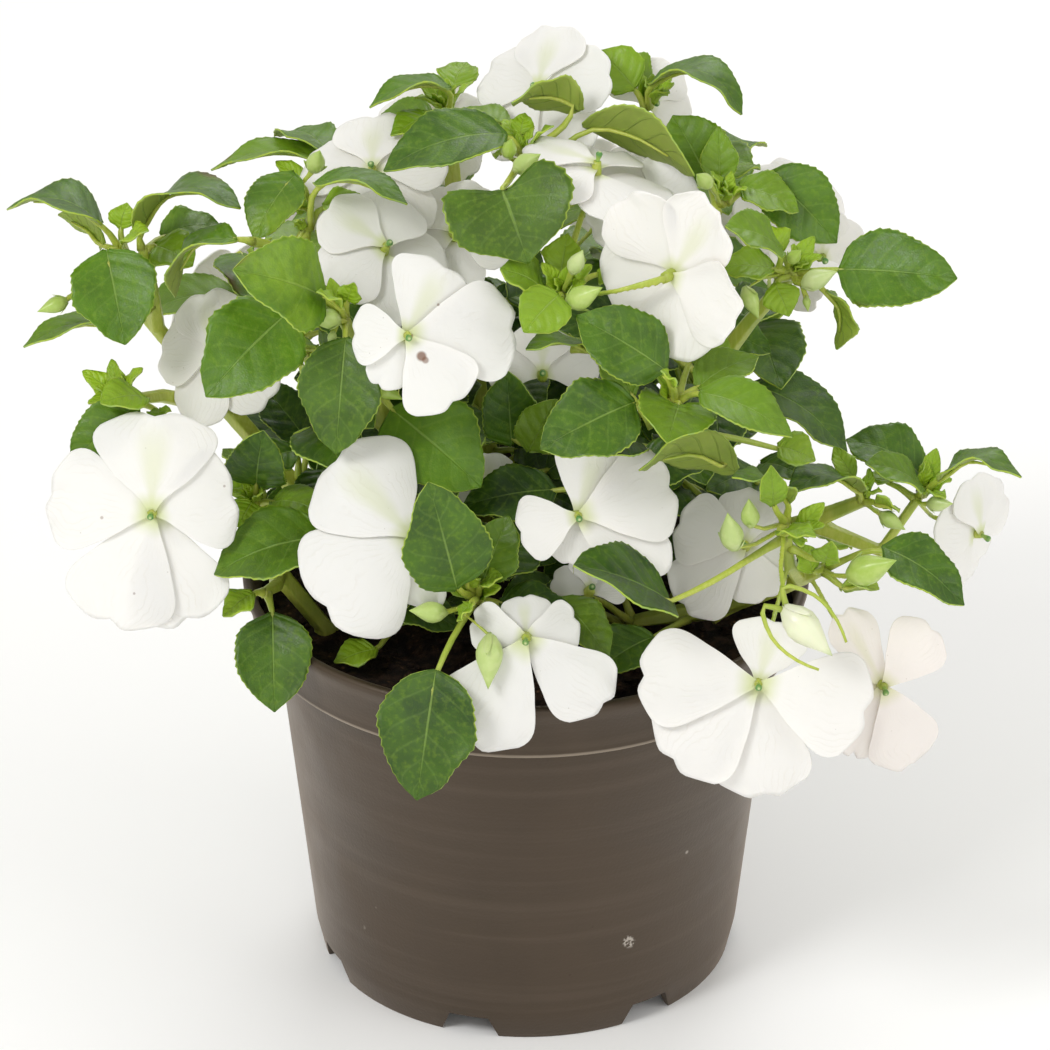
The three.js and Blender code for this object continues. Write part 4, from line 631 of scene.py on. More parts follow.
# %% [markdown]
# ## Laying the leaf on its blade
#
# A solid blade has few rows, so straight lines between them would make a leaf angular. A row is put in at its
# hips and one at its shoulders, both a little fuller than the straight line. A heart-shaped leaf has hips of
# its own, and its point is left straight. Each copy then gets slow ruffles and an uneven rim by chance.

# %% Carry the flat leaf onto a blade
TIP_HALF_WIDTH = 0.14 * MM
SHOULDER_PLACE = 0.5
SHOULDER_FULLNESS = 1.3
HIP_FULLNESS = 1.3
LOBE_REACH = 0.04
RUFFLE = 0.5 * MM
UNEVEN = 0.03


def leaf_ladder(blade):
    rows = blade["rows"].copy()
    forward = blade["tip"] - blade["foot"]
    length = np.linalg.norm(forward)
    forward = forward / length
    lobed = (rows[1, 0] - blade["foot"]) @ forward < 0
    if lobed:
        rows[1, 1] = rows[0, 1] + forward * length * LOBE_REACH
    side = unit(rows[-1, 2] - rows[-1, 0]) * TIP_HALF_WIDTH
    tip_row = np.array([blade["tip"] - side, blade["tip"], blade["tip"] + side])
    shoulder = rows[-1] + (tip_row - rows[-1]) * SHOULDER_PLACE
    shoulder = shoulder[1] + (shoulder - shoulder[1]) * (1.0 if lobed else SHOULDER_FULLNESS)
    if not lobed:
        hip = (rows[0] + rows[1]) / 2
        hip = hip[1] + (hip - hip[1]) * HIP_FULLNESS
        rows = np.concatenate([rows[:1], hip[None], rows[1:]])
    return np.concatenate([rows, shoulder[None], tip_row[None]])


def leaf_on(master, blade, name, chance):
    points = points_of(master)
    across, along, height = points.T
    turn = chance.uniform(0, 2 * math.pi)
    waves = chance.uniform(1.6, 2.6)
    ruffle = np.sin(2 * math.pi * waves * along + turn + np.sign(across)) * np.abs(across) ** 3
    lift = height + RUFFLE * ruffle * np.clip((1 - along) * 4, 0, 1)
    uneven = 1 + UNEVEN * np.sin(2 * math.pi * (waves + 0.7) * along - turn - 2 * np.sign(across))
    return copy_of(master, name, carry(leaf_ladder(blade), across * uneven, along, lift))


# %% [markdown]
# ## The master petal
#
# A petal starts as a narrow claw at the eye, widens quickly and ends in two rounded lobes with a shallow
# notch between them. The grid's far end is therefore shaped: its corners are drawn back and its two lobes
# pushed out, so the rim runs round in one line. Petals are thinner than leaves and softly wavy, and each one
# gets its own slow waves, so that no two take the light alike.

# %% Model the flat petal
PETAL_THICKNESS = 0.3 * MM
PETAL_COLUMNS = tuple(np.sin(np.linspace(-0.5, 0.5, 17) * math.pi).round(4))
PETAL_STEPS = 20
CORNER_BACK = 0.17
LOBE_OUT = 0.035


def master_petal():
    petal, points = flat_grid("flat_petal", PETAL_COLUMNS, PETAL_STEPS)
    side = np.abs(points[:, 0])
    reach = 1 - CORNER_BACK * side**5 + LOBE_OUT * np.sin(np.clip(side / 0.9, 0, 1) * math.pi)
    points[:, 1] *= reach
    put_points(petal, points)
    wall = petal.modifiers.new("thickness", "SOLIDIFY")
    wall.thickness = PETAL_THICKNESS
    wall.offset = 0
    apply_modifiers(petal)
    bpy.ops.object.shade_smooth()
    return petal


flat_petal = master_petal()
print("petal faces:", len(flat_petal.data.polygons))

# %% Carry the flat petal onto its blade
PETAL_WAVE = 0.75 * MM
FULL_WAVE_LENGTH = 20 * MM
CLAW_REACH = 0.85
CLAW_HALF_WIDTH = 0.75 * MM
ROOT_HALF_WIDTH = 1.75 * MM


def petal_on(master, blade, eye, name, chance, crumple=1.0):
    rows = blade["rows"].copy()
    rows[-1, 1] = blade["tip"]
    inward = eye - rows[0, 1]
    side = unit(rows[0, 2] - rows[0, 0])
    claw = rows[0] + inward * CLAW_REACH
    claw[[0, 2]] = claw[1] - side * CLAW_HALF_WIDTH, claw[1] + side * CLAW_HALF_WIDTH
    rows[0, [0, 2]] = rows[0, 1] - side * ROOT_HALF_WIDTH, rows[0, 1] + side * ROOT_HALF_WIDTH
    rows = np.concatenate([claw[None], rows])
    points = points_of(master)
    across, along, height = points.T
    size = np.linalg.norm(blade["tip"] - blade["foot"]) / FULL_WAVE_LENGTH
    waves = chance.uniform(0.9, 1.5)
    turn = chance.uniform(0, 2 * math.pi)
    fold = chance.uniform(-0.5, 0.5)
    rim = np.clip(along * 1.1, 0, 1) ** 2
    wave = np.sin(across * math.pi * waves + turn) * rim * (0.35 + 0.65 * np.abs(across))
    wave += 0.35 * np.sin(across * math.pi * 2.3 * waves - turn + 3 * along) * rim**2
    wave += fold * np.exp(-((across / 0.16) ** 2)) * rim * 0.6
    lift = height + PETAL_WAVE * size * crumple * wave
    return copy_of(master, name, carry(rows, across, along, lift))


# %% [markdown]
# ## Stalks, buds and the eye of a flower
#
# A leaf's stalk is a thin round cord that runs on as the midrib under the blade. It is modelled once, as a
# short eight-sided rod drawn up step by step from a circle, and then bent along each leaf's own path. A bud
# is a pointed drop wrapped in two green sepals. In the eye of every open flower sits a small green column.
# Bud, sepal and column are forms of one kind: a sphere that is drawn out to a drop with its own outline.

# %% A rod that can be bent along any path
ROD_SIDES = 8
ROD_STEPS = 10


def master_rod():
    rod = added(
        "straight_rod", bpy.ops.mesh.primitive_circle_add, vertices=ROD_SIDES, radius=1, fill_type="NGON"
    )
    bpy.ops.object.mode_set(mode="EDIT")
    bpy.ops.mesh.select_all(action="SELECT")
    for _ in range(ROD_STEPS):
        bpy.ops.mesh.extrude_region_move(TRANSFORM_OT_translate={"value": (0, 0, 1 / ROD_STEPS)})
    bpy.ops.mesh.select_all(action="SELECT")
    bpy.ops.mesh.normals_make_consistent(inside=False)
    bpy.ops.object.mode_set(mode="OBJECT")
    bpy.ops.object.shade_smooth()
    return rod


def rod_along(master, path, radii, side, name):
    path = np.asarray(path, float)
    steps = np.linalg.norm(np.diff(path, axis=0), axis=1)
    knots = np.concatenate([[0], np.cumsum(steps)])
    knots /= knots[-1]
    x, y, along = points_of(master).T
    centre = curve_through(knots, path, along)
    heading = unit(curve_through(knots, path, along + 0.01) - curve_through(knots, path, along - 0.01))
    side = np.asarray(side, float)
    across = unit(side - heading * (heading @ side)[:, None])
    upward = np.cross(heading, across)
    radius = curve_through(knots, np.asarray(radii, float)[:, None], along)
    return copy_of(master, name, centre + radius * (x[:, None] * across + y[:, None] * upward))


straight_rod = master_rod()
print("rod faces:", len(straight_rod.data.polygons))


# %% A bud and a flower's eye
# [share of the length, share of the half width]
BUD_SHAPE = (
    (0, 0.22), (0.1, 0.5), (0.22, 0.84), (0.36, 1.0), (0.5, 0.93), (0.64, 0.7), (0.78, 0.42), (0.9, 0.18),
    (1, 0.04),
)
SEPAL_SHAPE = ((0, 0.5), (0.25, 0.85), (0.5, 0.9), (0.8, 0.5), (1, 0.06))
EYE_SHAPE = ((0, 0.6), (0.3, 0.55), (0.55, 0.85), (0.8, 1.0), (1, 0.3))
BUD_SEAM = 0.09
SEPAL_LENGTH = 0.42
SEPAL_WIDTH = 0.34
SEPAL_THICKNESS = 0.09
SEPAL_FLARE = 0.3


def drop(name, shape, segments, rings):
    piece = added(name, bpy.ops.mesh.primitive_uv_sphere_add, segments=segments, ring_count=rings, radius=1)
    points = points_of(piece)
    angle = np.arctan2(points[:, 1], points[:, 0])
    share = np.arccos(np.clip(-points[:, 2], -1, 1)) / math.pi
    wide = np.interp(share, *zip(*shape)) * (np.sin(share * math.pi) > 1e-4)
    points[:, 0], points[:, 1], points[:, 2] = wide * np.cos(angle), wide * np.sin(angle), share
    put_points(piece, points)
    bpy.ops.object.shade_smooth()
    return piece, angle, share


def master_bud():
    bud, angle, share = drop("plain_bud", BUD_SHAPE, 16, 14)
    seam = 1 - BUD_SEAM * np.cos(angle * 2.5 + share * 2.5) ** 12 * np.sin(share * math.pi)
    points = points_of(bud)
    points[:, :2] *= seam[:, None]
    put_points(bud, points)
    return bud


def master_sepal():
    sepal, _, share = drop("plain_sepal", SEPAL_SHAPE, 10, 8)
    points = points_of(sepal)
    level = share * SEPAL_LENGTH
    skin = np.interp(level, *zip(*BUD_SHAPE))
    turn = points[:, 1] * SEPAL_WIDTH / np.maximum(skin, 0.4)
    outward = skin + SEPAL_THICKNESS * points[:, 0] + SEPAL_FLARE * share**4
    put_points(sepal, np.column_stack([outward * np.cos(turn), outward * np.sin(turn), level]))
    return sepal


def set_in_place(master, name, foot, heading, length, width, turn=0.0):
    turned = Vector((0, 0, 1)).rotation_difference(Vector(heading)).to_matrix()
    matrix = np.array(turned @ Matrix.Rotation(turn, 3, "Z"))
    points = points_of(master) * np.array([width, width, length])
    return copy_of(master, name, points @ matrix.T + np.asarray(foot))


plain_bud = master_bud()
plain_sepal = master_sepal()
eye_column = drop("plain_column", EYE_SHAPE, 10, 9)[0]
print("bud faces:", len(plain_bud.data.polygons))

# %% [markdown]
# ## Leaf greens
#
# The upper side is a mid green with a satin grey sheen, paler along the thin midrib and side veins, mottled
# darker between them, and yellow-green along the margin. Young leaves are nearly yellow. The under side is a
# dull olive with darker veins. The vein pattern follows the leaf's own map, so it bends with the blade, and
# each leaf carries three marks of its own: how young it is, how dark it is and a number drawn by chance. How
# dark a leaf is painted is partly its own tone and partly painted shade, on leaves low in the plant and
# inside the mound.

# %% Leaf colours and marks
LEAF_DEEP = paint(32, 62, 7)
LEAF_MAIN = paint(88, 127, 12)
LEAF_YOUNG = paint(154, 186, 36)
LEAF_VEIN = paint(146, 176, 84)
LEAF_MARGIN = paint(166, 188, 58)
UNDER_DEEP = paint(112, 130, 50)
UNDER_MAIN = paint(152, 166, 74)
UNDER_VEIN = paint(116, 136, 52)
WITHERED = paint(96, 58, 30)
# [across, up, radius, share], colour, only along the edge
LEAF_MARKS = (
    ((-60.5, 53.5, 5.0, 0.9), WITHERED, True),
    ((-66.5, 77.5, 5.0, 0.85), WITHERED, True),
    ((68.5, 42.0, 5.0, 0.6), WITHERED, True),
    ((-50.0, 57.0, 14.0, 0.35), LEAF_YOUNG, False),
    ((-46.0, 42.0, 4.0, 0.3), LEAF_YOUNG, False),
)


# %% Patterns and colour of a leaf
def leaf_patterns(finish):
    u, v = finish.own_map()
    place = finish.place()
    side = finish.math("ABSOLUTE", finish.minus(finish.times(u, 2.0), 1.0))
    sweep = finish.times(finish.math("POWER", side, VEIN_CURVE), VEIN_SWEEP)
    phase = finish.times(finish.minus(v, sweep), VEIN_PAIRS)
    off_line = finish.math("ABSOLUTE", finish.minus(finish.math("FRACT", finish.plus(phase, 0.5)), 0.5))
    return {
        "side": side,
        "along": v,
        "veins": finish.times(finish.span(off_line, 0.085, 0.02), finish.span(side, 0.96, 0.6)),
        "midrib": finish.span(side, 0.05, 0.015),
        "puffed": finish.span(off_line, 0.0, 0.4),
        "cloud": finish.noise(place, 130.0, 3.0),
        "fleck": finish.noise(place, 900.0, 2.0),
    }


def leaf_finish(name, deep, main, vein, vein_share, roughness):
    finish = Finish(
        name, Roughness=roughness, Specular_IOR_Level=0.42,
        Subsurface_Weight=0.12, Subsurface_Radius=(0.4, 0.8, 0.15), Subsurface_Scale=0.002,
    )
    marks = finish.marks()
    pattern = leaf_patterns(finish)
    clouded = finish.span(pattern["cloud"], 0.35, 0.7, 0.0, 0.32)
    # the Green mark mixes towards the deep green: partly the leaf's own tone, partly painted shade
    colour = finish.mix(finish.plus(finish.times(marks["Green"], 0.8), clouded), main, deep)
    colour = finish.mix(marks["Red"], colour, LEAF_YOUNG)
    colour = finish.mix(finish.span(pattern["fleck"], 0.45, 0.75, 0.0, 0.14), colour, LEAF_YOUNG)
    colour = finish.mix(finish.times(pattern["veins"], vein_share), colour, vein)
    rib = finish.times(pattern["midrib"], finish.span(pattern["along"], 1.0, 0.1, vein_share, 0.55))
    colour = finish.mix(rib, colour, vein)
    uneven = finish.span(pattern["cloud"], 0.4, 0.65, 0.2, 0.7)
    rim = finish.times(finish.span(pattern["side"], 0.93, 0.995), uneven)
    return finish, finish.mix(rim, colour, LEAF_MARGIN), pattern


# %% Finishes for the two sides and the margin
def upper_leaf_material():
    finish, colour, pattern = leaf_finish("leaf_upper_side", LEAF_DEEP, LEAF_MAIN, LEAF_VEIN, 0.09, 0.46)
    place = finish.place()
    mottled = finish.span(finish.noise(place, 420.0, 3.0), 0.3, 0.6, 0.5, 1.0)
    for (across, up, radius, share), tone, edge in LEAF_MARKS:
        spot = finish.rod_mark(place, across, up, radius)
        if edge:
            spot = finish.times(spot, finish.span(pattern["side"], 0.45, 0.9))
        colour = finish.mix(finish.times(spot, mottled, share), colour, tone)
    finish.to("Base Color", colour)
    finish.to("Roughness", finish.span(pattern["fleck"], 0.3, 0.7, 0.38, 0.52))
    height = finish.minus(finish.times(pattern["puffed"], 0.7), finish.times(pattern["midrib"], 1.2))
    fine = finish.times(finish.cells(place, 2600.0), 0.25)
    finish.bump(finish.plus(height, fine), 0.22 * MM, 0.6)
    return finish.material


def under_leaf_material():
    finish, colour, pattern = leaf_finish("leaf_under_side", UNDER_DEEP, UNDER_MAIN, UNDER_VEIN, 0.55, 0.6)
    finish.to("Base Color", colour)
    finish.bump(finish.plus(pattern["veins"], finish.times(pattern["midrib"], 2.0)), 0.3 * MM, 0.6)
    return finish.material


def margin_material():
    finish = Finish("leaf_margin", Roughness=0.5)
    mottled = finish.span(finish.noise(finish.place(), 700.0), 0.4, 0.65)
    finish.to("Base Color", finish.mix(mottled, LEAF_MARGIN, LEAF_VEIN))
    return finish.material


leaf_materials = [upper_leaf_material(), under_leaf_material(), margin_material()]
print("leaf finishes:", [material.name for material in leaf_materials])

# %% [markdown]
# ## Stem and bud finishes
#
# The stems are full of water: pale yellow-green, glossy and a little see-through, with fine streaks along
# them. The streaks are a noise that is stretched upwards. Buds are of the same kind, paler as they open, with
# greener tips.

# %% Stem and bud finishes
STEM_GREEN = paint(172, 184, 70)
STEM_STREAK = paint(196, 202, 102)
STEM_BLOTCH = paint(134, 158, 52)
STEM_FOOT = paint(120, 104, 52)
BUD_GREEN = paint(162, 190, 78)
BUD_STRIPE = paint(196, 212, 128)
BUD_PALE = paint(234, 236, 208)
BUD_TIP = paint(138, 168, 60)


def stem_material():
    finish = Finish(
        "juicy_stem", Roughness=0.38,
        Subsurface_Weight=0.25, Subsurface_Radius=(0.6, 0.9, 0.2), Subsurface_Scale=0.003,
    )
    place = finish.place()
    streak = finish.noise(finish.stretched(place, (1.0, 1.0, 0.12)), 1500.0, 2.0)
    blotch = finish.noise(place, 90.0, 2.0)
    colour = finish.mix(finish.span(streak, 0.35, 0.7, 0.0, 0.5), STEM_GREEN, STEM_STREAK)
    colour = finish.mix(finish.span(blotch, 0.42, 0.68, 0.0, 0.55), colour, STEM_BLOTCH)
    low = finish.span(finish.parts(place)["Z"], 100 * MM, 80 * MM)
    finish.to("Base Color", finish.mix(finish.times(low, 0.3), colour, STEM_FOOT))
    finish.bump(streak, 0.2 * MM, 0.5)
    return finish.material


def bud_material():
    finish = Finish(
        "bud_skin", Roughness=0.32,
        Subsurface_Weight=0.2, Subsurface_Radius=(0.7, 0.9, 0.4), Subsurface_Scale=0.002,
    )
    _, along = finish.own_map()
    stripe = finish.span(finish.noise(finish.place(), 500.0, 3.0), 0.4, 0.65)
    green = finish.mix(finish.times(stripe, 0.35), BUD_GREEN, BUD_STRIPE)
    colour = finish.mix(finish.marks()["Red"], green, BUD_PALE)
    finish.to("Base Color", finish.mix(finish.span(along, 0.8, 1.0, 0.0, 0.45), colour, BUD_TIP))
    finish.bump(stripe, 0.1 * MM, 0.3)
    return finish.material


stem_green = stem_material()
bud_green = bud_material()
print("finishes:", stem_green.name, bud_green.name)

# %% [markdown]
# ## Petal and eye finishes
#
# Petals are a matt warm white with very faint veins that fan out from the eye, a green tint in the throat
# and, on the upper petal, a greenish keel down the middle. A few petals are faintly pink, and a few have
# brown bruises and specks. Such a mark goes through the petal like a rod along the sight, so it needs no
# place of its own on the petal's map.

# %% Petal and eye finishes
PETAL_WHITE = paint(240, 238, 232)
PETAL_SHADE = paint(222, 216, 202)
PETAL_SPECK = paint(150, 140, 120)
PETAL_THROAT = paint(196, 208, 120)
PETAL_KEEL = paint(206, 214, 150)
PETAL_PINK = paint(250, 226, 214)
EYE_FOOT = paint(150, 182, 84)
EYE_GREEN = paint(84, 140, 66)
EYE_TIP = paint(196, 208, 150)
EYE_FLECK = paint(160, 180, 90)
BRUISE = paint(112, 66, 42)
# [across, up, radius, share]
BRUISES = (
    (-21.3, 34.4, 1.3, 0.85), (-20.5, 33.6, 0.9, 0.7), (-23.4, 38.6, 0.5, 0.7), (-11.5, -50.2, 1.6, 0.55),
    (-87.0, 1.5, 0.45, 0.5), (-62.0, 8.0, 0.35, 0.5), (-18.0, 45.2, 0.4, 0.6), (-80.0, -14.0, 0.35, 0.5),
)


def petal_material():
    finish = Finish(
        "petal_white", Roughness=0.62, Specular_IOR_Level=0.3, Sheen_Weight=0.15,
        Subsurface_Weight=0.3, Subsurface_Radius=(1.0, 0.9, 0.75), Subsurface_Scale=0.003,
    )
    u, v = finish.own_map()
    marks = finish.marks()
    place = finish.place()
    side = finish.minus(finish.times(u, 2.0), 1.0)
    wobble = finish.times(finish.minus(finish.noise(place, 150.0, 3.0), 0.5), 0.45)
    fan = finish.times(finish.plus(side, wobble), 9.0)
    off_vein = finish.math("ABSOLUTE", finish.minus(finish.math("FRACT", fan), 0.5))
    vein = finish.times(finish.span(off_vein, 0.16, 0.03), finish.span(v, 0.1, 0.4))
    uneven = finish.span(finish.noise(place, 160.0, 2.0), 0.4, 0.7)
    colour = finish.mix(finish.times(vein, uneven, 0.2), PETAL_WHITE, PETAL_SHADE)
    speck = finish.span(finish.cells(place, 420.0), 0.075, 0.04)
    rare = finish.span(finish.noise(place, 120.0), 0.56, 0.62)
    colour = finish.mix(finish.times(speck, rare, 0.35), colour, PETAL_SPECK)
    colour = finish.mix(finish.times(finish.span(v, 0.22, 0.02), 0.75), colour, PETAL_THROAT)
    keel_width = finish.span(finish.math("ABSOLUTE", side), 0.26, 0.03)
    keel = finish.times(keel_width, finish.span(v, 1.0, 0.5), marks["Red"])
    colour = finish.mix(finish.times(keel, 0.42), colour, PETAL_KEEL)
    colour = finish.mix(finish.times(marks["Green"], 0.5), colour, PETAL_PINK)
    for across, up, radius, share in BRUISES:
        spot = finish.rod_mark(place, across, up, radius)
        colour = finish.mix(finish.times(spot, share), colour, BRUISE)
    finish.to("Base Color", colour)
    ribs = finish.times(vein, uneven, 0.35)
    finish.bump(finish.plus(ribs, finish.times(finish.noise(place, 420.0), 0.9)), 0.22 * MM, 0.4)
    return finish.material


def eye_material():
    finish = Finish("flower_eye", Roughness=0.4)
    _, along = finish.own_map()
    colour = finish.mix(finish.span(along, 0.35, 0.8), EYE_FOOT, EYE_GREEN)
    colour = finish.mix(finish.span(along, 0.9, 0.98), colour, EYE_TIP)
    fleck = finish.span(finish.noise(finish.place(), 900.0), 0.4, 0.7, 0.0, 0.4)
    finish.to("Base Color", finish.mix(fleck, colour, EYE_FLECK))
    return finish.material


petal_white = petal_material()
eye_green = eye_material()
print("finishes:", petal_white.name, eye_green.name)

# %% Put the finishes on the masters, and a way to mark each copy
for leaf_master in (full_leaf, young_leaf, tuft_leaf):
    for i, material in enumerate(leaf_materials):
        leaf_master.data.materials[i] = material
for master, material in (
    (flat_petal, petal_white), (straight_rod, stem_green), (plain_bud, bud_green),
    (plain_sepal, bud_green), (eye_column, eye_green),
):
    master.data.materials.append(material)


def set_marks(piece, youth=0.0, dark=0.0, chance=0.0):
    layer = piece.data.color_attributes.new(MARKS, "FLOAT_COLOR", "POINT")
    values = np.tile([youth, dark, chance, 1.0], len(piece.data.vertices))
    layer.data.foreach_set("color", values)
    return piece


print("finishes on a leaf:", len(full_leaf.data.materials))

# %% [markdown]
# ## Finding the buds
#
# A solid bud is known by its tip. Five edges of one length run from it to a round ring, and tip and ring
# together are as slender as only a bud is. From these the bud's foot, its heading and its length are worked
# out. Names for the buds would be a shorter way, but a stem with its buds is one solid.

# %% Find the buds of a stem
BUD_SIDES = 5
BUD_RING_SHARE = 0.6
BUD_RING_SWELL = 0.92
BUD_SLENDERNESS = 0.27
EVEN = 0.02
SLENDER = 0.05


def buds_in(solid):
    found = []
    for apex in solid.verts:
        if len(apex.link_edges) != BUD_SIDES:
            continue
        lengths = [edge.calc_length() for edge in apex.link_edges]
        ring = [edge.other_vert(apex) for edge in apex.link_edges]
        centre = sum((v.co for v in ring), Vector()) / BUD_SIDES
        spread = [(v.co - centre).length for v in ring]
        reach = (apex.co - centre).length
        even = max(lengths) - min(lengths) < EVEN * max(lengths)
        round_ring = max(spread) - min(spread) < EVEN * max(spread)
        length = reach / (1 - BUD_RING_SHARE)
        slender = abs(spread[0] / (BUD_SLENDERNESS * BUD_RING_SWELL * max(length, 1e-9)) - 1) < SLENDER
        if even and round_ring and slender:
            heading = (apex.co - centre).normalized()
            found.append((apex.co - heading * length, heading, length, [apex, *ring]))
    return found


# %% [markdown]
# ## The bare stems
#
# Each solid stem is a fused mesh: five-sided stems, three-sided flower stalks, buds and leaves. Its leaves
# and buds are cut off, because they are grown anew. What is left is closed, re-meshed in small even squares
# and smoothed, so that the branches grow out of each other in soft forks, as on a juicy plant, and the
# squares are then thinned out. Rebuilding the stems from rings would leave hard seams where branches meet.

# %% Strip the leaves and buds off and smooth the stem
STEM_CELL = 0.25 * MM
STEM_SMOOTHING = 10
STEM_SOFTNESS = 0.5
STEM_KEEP = 0.17


def bare_stem(node, solid, blades, buds):
    grown_anew = {v for blade in blades for v in blade["corners"]}
    grown_anew.update(v for bud in buds for v in bud[3])
    bmesh.ops.delete(solid, geom=list(grown_anew), context="VERTS")
    loose = [v for v in solid.verts if not v.link_faces]
    bmesh.ops.delete(solid, geom=loose, context="VERTS")
    bmesh.ops.holes_fill(solid, edges=[e for e in solid.edges if e.is_boundary], sides=0)
    mesh = bpy.data.meshes.new(node + "_bare")
    solid.to_mesh(mesh)
    stem = bpy.data.objects.new(node + "_bare", mesh)
    bpy.context.scene.collection.objects.link(stem)
    cells = stem.modifiers.new("cells", "REMESH")
    cells.mode = "VOXEL"
    cells.voxel_size = STEM_CELL
    soften = stem.modifiers.new("soften", "SMOOTH")
    soften.factor = STEM_SOFTNESS
    soften.iterations = STEM_SMOOTHING
    thin_out = stem.modifiers.new("thin_out", "DECIMATE")
    thin_out.ratio = STEM_KEEP
    apply_modifiers(stem)
    bpy.ops.object.shade_smooth()
    stem.data.materials.clear()
    stem.data.materials.append(stem_green)
    return set_marks(stem)


# %% [markdown]
# ## Leaves on their stalks
#
# A stalk runs from the stem to the foot of the blade and on under it as the midrib. Short leaves are young
# and yellow, and leaves low down are painted darker, as painted shade under the canopy. A few leaves in full
# view have a set tone, partly their own and partly painted light and shade, and they are named by their
# place, because the leaves of a solid have no names.

# %% Stalk, blade and marks of one leaf
FULL_LEAF_LENGTH = 11.25 * MM
YOUNG_LEAF_LENGTH = 17 * MM
YOUTH_SPAN = 9 * MM
CANOPY_LEVEL = 150 * MM
CANOPY_DEPTH = 60 * MM
UNDER_BLADE = 0.62 * MM
STALK_RADII = (1.15 * MM, 0.85 * MM, 0.64 * MM, 0.5 * MM, 0.4 * MM, 0.2 * MM)
STALK_SUNK = 0.6 * MM
RIB_STOPS = (0.12, 0.4, 0.72)
# (across, up) in the middle of a leaf: its set share of the deep green, partly its own tone and partly
# painted light and shade
LEAF_TONES = {
    (-3.0, 64.8): 0.75, (-16.9, 80.4): 0.5, (-58.4, 36.9): 0.05, (-39.0, 27.4): 0.75, (-19.4, 16.9): 0.0,
    (13.5, 21.5): 0.5, (-17.3, -3.2): 0.6, (-21.1, -44.1): 0.8, (-86.7, 48.7): 0.05,
}
LEAF_TONE_REACH = 7


def leaf_stalk(blade, ladder, name):
    stops = np.array(RIB_STOPS)
    under = carry(ladder, np.zeros(3), stops, np.full(3, -UNDER_BLADE))
    foot, seat = blade["foot"], blade["seat"]
    root = seat - unit(foot - seat) * STALK_SUNK
    path = [root, seat + (foot - seat) * 0.15, seat + (foot - seat) * 0.75, *under]
    side = ladder[1, 2] - ladder[1, 0]
    return rod_along(straight_rod, path, STALK_RADII, side, name)


def leaf_and_stalk(blade, name, chance):
    length = np.linalg.norm(blade["tip"] - blade["foot"])
    depth = np.clip((CANOPY_LEVEL - blade["foot"][2]) / CANOPY_DEPTH, 0, 1)
    youth = np.clip((YOUNG_LEAF_LENGTH - length) / YOUTH_SPAN, 0, 1) * chance.uniform(0.45, 0.9)
    youth = max(youth, chance.uniform(-0.25, 0.22), 0.0)
    # painted shade: the depth part darkens leaves low in the canopy; the chance part is the leaf's own tone
    dark = depth * 0.5 + chance.uniform(0.05, 0.5)
    seen = as_seen(blade["rows"][:, 1].mean(axis=0) * 0.6 + blade["tip"] * 0.4)
    # the set tones replace the darkness above and partly paint the light and shade on these leaves
    for place, tone in LEAF_TONES.items():
        if math.dist(seen, place) < LEAF_TONE_REACH:
            dark = tone
    master = full_leaf if length > FULL_LEAF_LENGTH else young_leaf
    leaf = leaf_on(master, blade, name, chance)
    stalk = leaf_stalk(blade, leaf_ladder(blade), name + "_stalk")
    marks = (youth, dark * (1 - youth), chance.random())
    return [set_marks(leaf, *marks), set_marks(stalk, *marks)]


# %% [markdown]
# ## Buds with their sepals
#
# A bud is the master drop with two sepals on opposite sides, turned and tinted by chance. The large bud that
# hangs on the right is about to open. It is nearly white, and two spurs curl out from behind it.

# %% Buds with their sepals
OPENING_BUD = slanted(58, -20, -66)
OPENING_BUD_REACH = 14 * MM
SPUR_RADII = (0.7 * MM, 0.55 * MM, 0.42 * MM, 0.34 * MM, 0.28 * MM)
# [out, down], as shares of the way that a spur takes
SPUR_CURL = ((0.0, 0.0), (0.35, -0.35), (0.75, 0.05), (0.7, 0.75), (0.5, 1.05))
SPUR_OUT = 0.55
SPUR_DOWN = 0.85
SPUR_NEAR = 2 * MM
BUD_FULLNESS = 0.93
BUD_OVERLENGTH = 1.02
OPENING_PALENESS = 0.9


def curly_spurs(foot, heading, length, name):
    onward = Vector(heading)
    back = Vector(foot) + onward * length * 0.12
    aside = onward.cross(away).normalized()
    spurs = []
    for side in (-1, 1):
        path = []
        for out, down in SPUR_CURL:
            curl = aside * side * out * length * SPUR_OUT + onward * down * length * SPUR_DOWN
            path.append(back + curl + away * out * SPUR_NEAR)
        spurs.append(rod_along(straight_rod, path, SPUR_RADII, away, f"{name}_spur"))
    return spurs


def bud_pieces(foot, heading, length, name, chance):
    wide = BUD_SLENDERNESS * length * BUD_FULLNESS
    paleness = chance.uniform(0.0, 0.35)
    opening = (Vector(foot) - OPENING_BUD).length < OPENING_BUD_REACH
    if opening:
        paleness = OPENING_PALENESS
    turn = chance.uniform(0, 2 * math.pi)
    pieces = [set_in_place(plain_bud, name, foot, heading, length * BUD_OVERLENGTH, wide, turn)]
    for half_turn in (0, math.pi):
        sepal_turn = turn + half_turn
        pieces.append(set_in_place(plain_sepal, f"{name}_sepal", foot, heading, length, wide, sepal_turn))
    if opening:
        pieces += curly_spurs(foot, heading, length, name)
    return [set_marks(piece, paleness) for piece in pieces]


# %% [markdown]
# ## Keeping clear of the solids
#
# The tufts and the inner leaves are too many and too fine for the solids, so they are set here by rule and
# chance. A leaf is tried at a place, as a small net of points that is lifted a little to either side. It is
# kept only where no net touches a solid or a leaf that was kept before.

# %% The solids as one net, to keep clear of
solid_points, solid_faces, solid_owners = [], [], []
for owner, body in sorted(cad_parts.items()):
    first = len(solid_points)
    solid_points += [vertex.co.copy() for vertex in body.data.vertices]
    for face in body.data.polygons:
        solid_faces.append([first + corner for corner in face.vertices])
        solid_owners.append(owner)
solids = BVHTree.FromPolygons(solid_points, solid_faces)
kept_nets = []

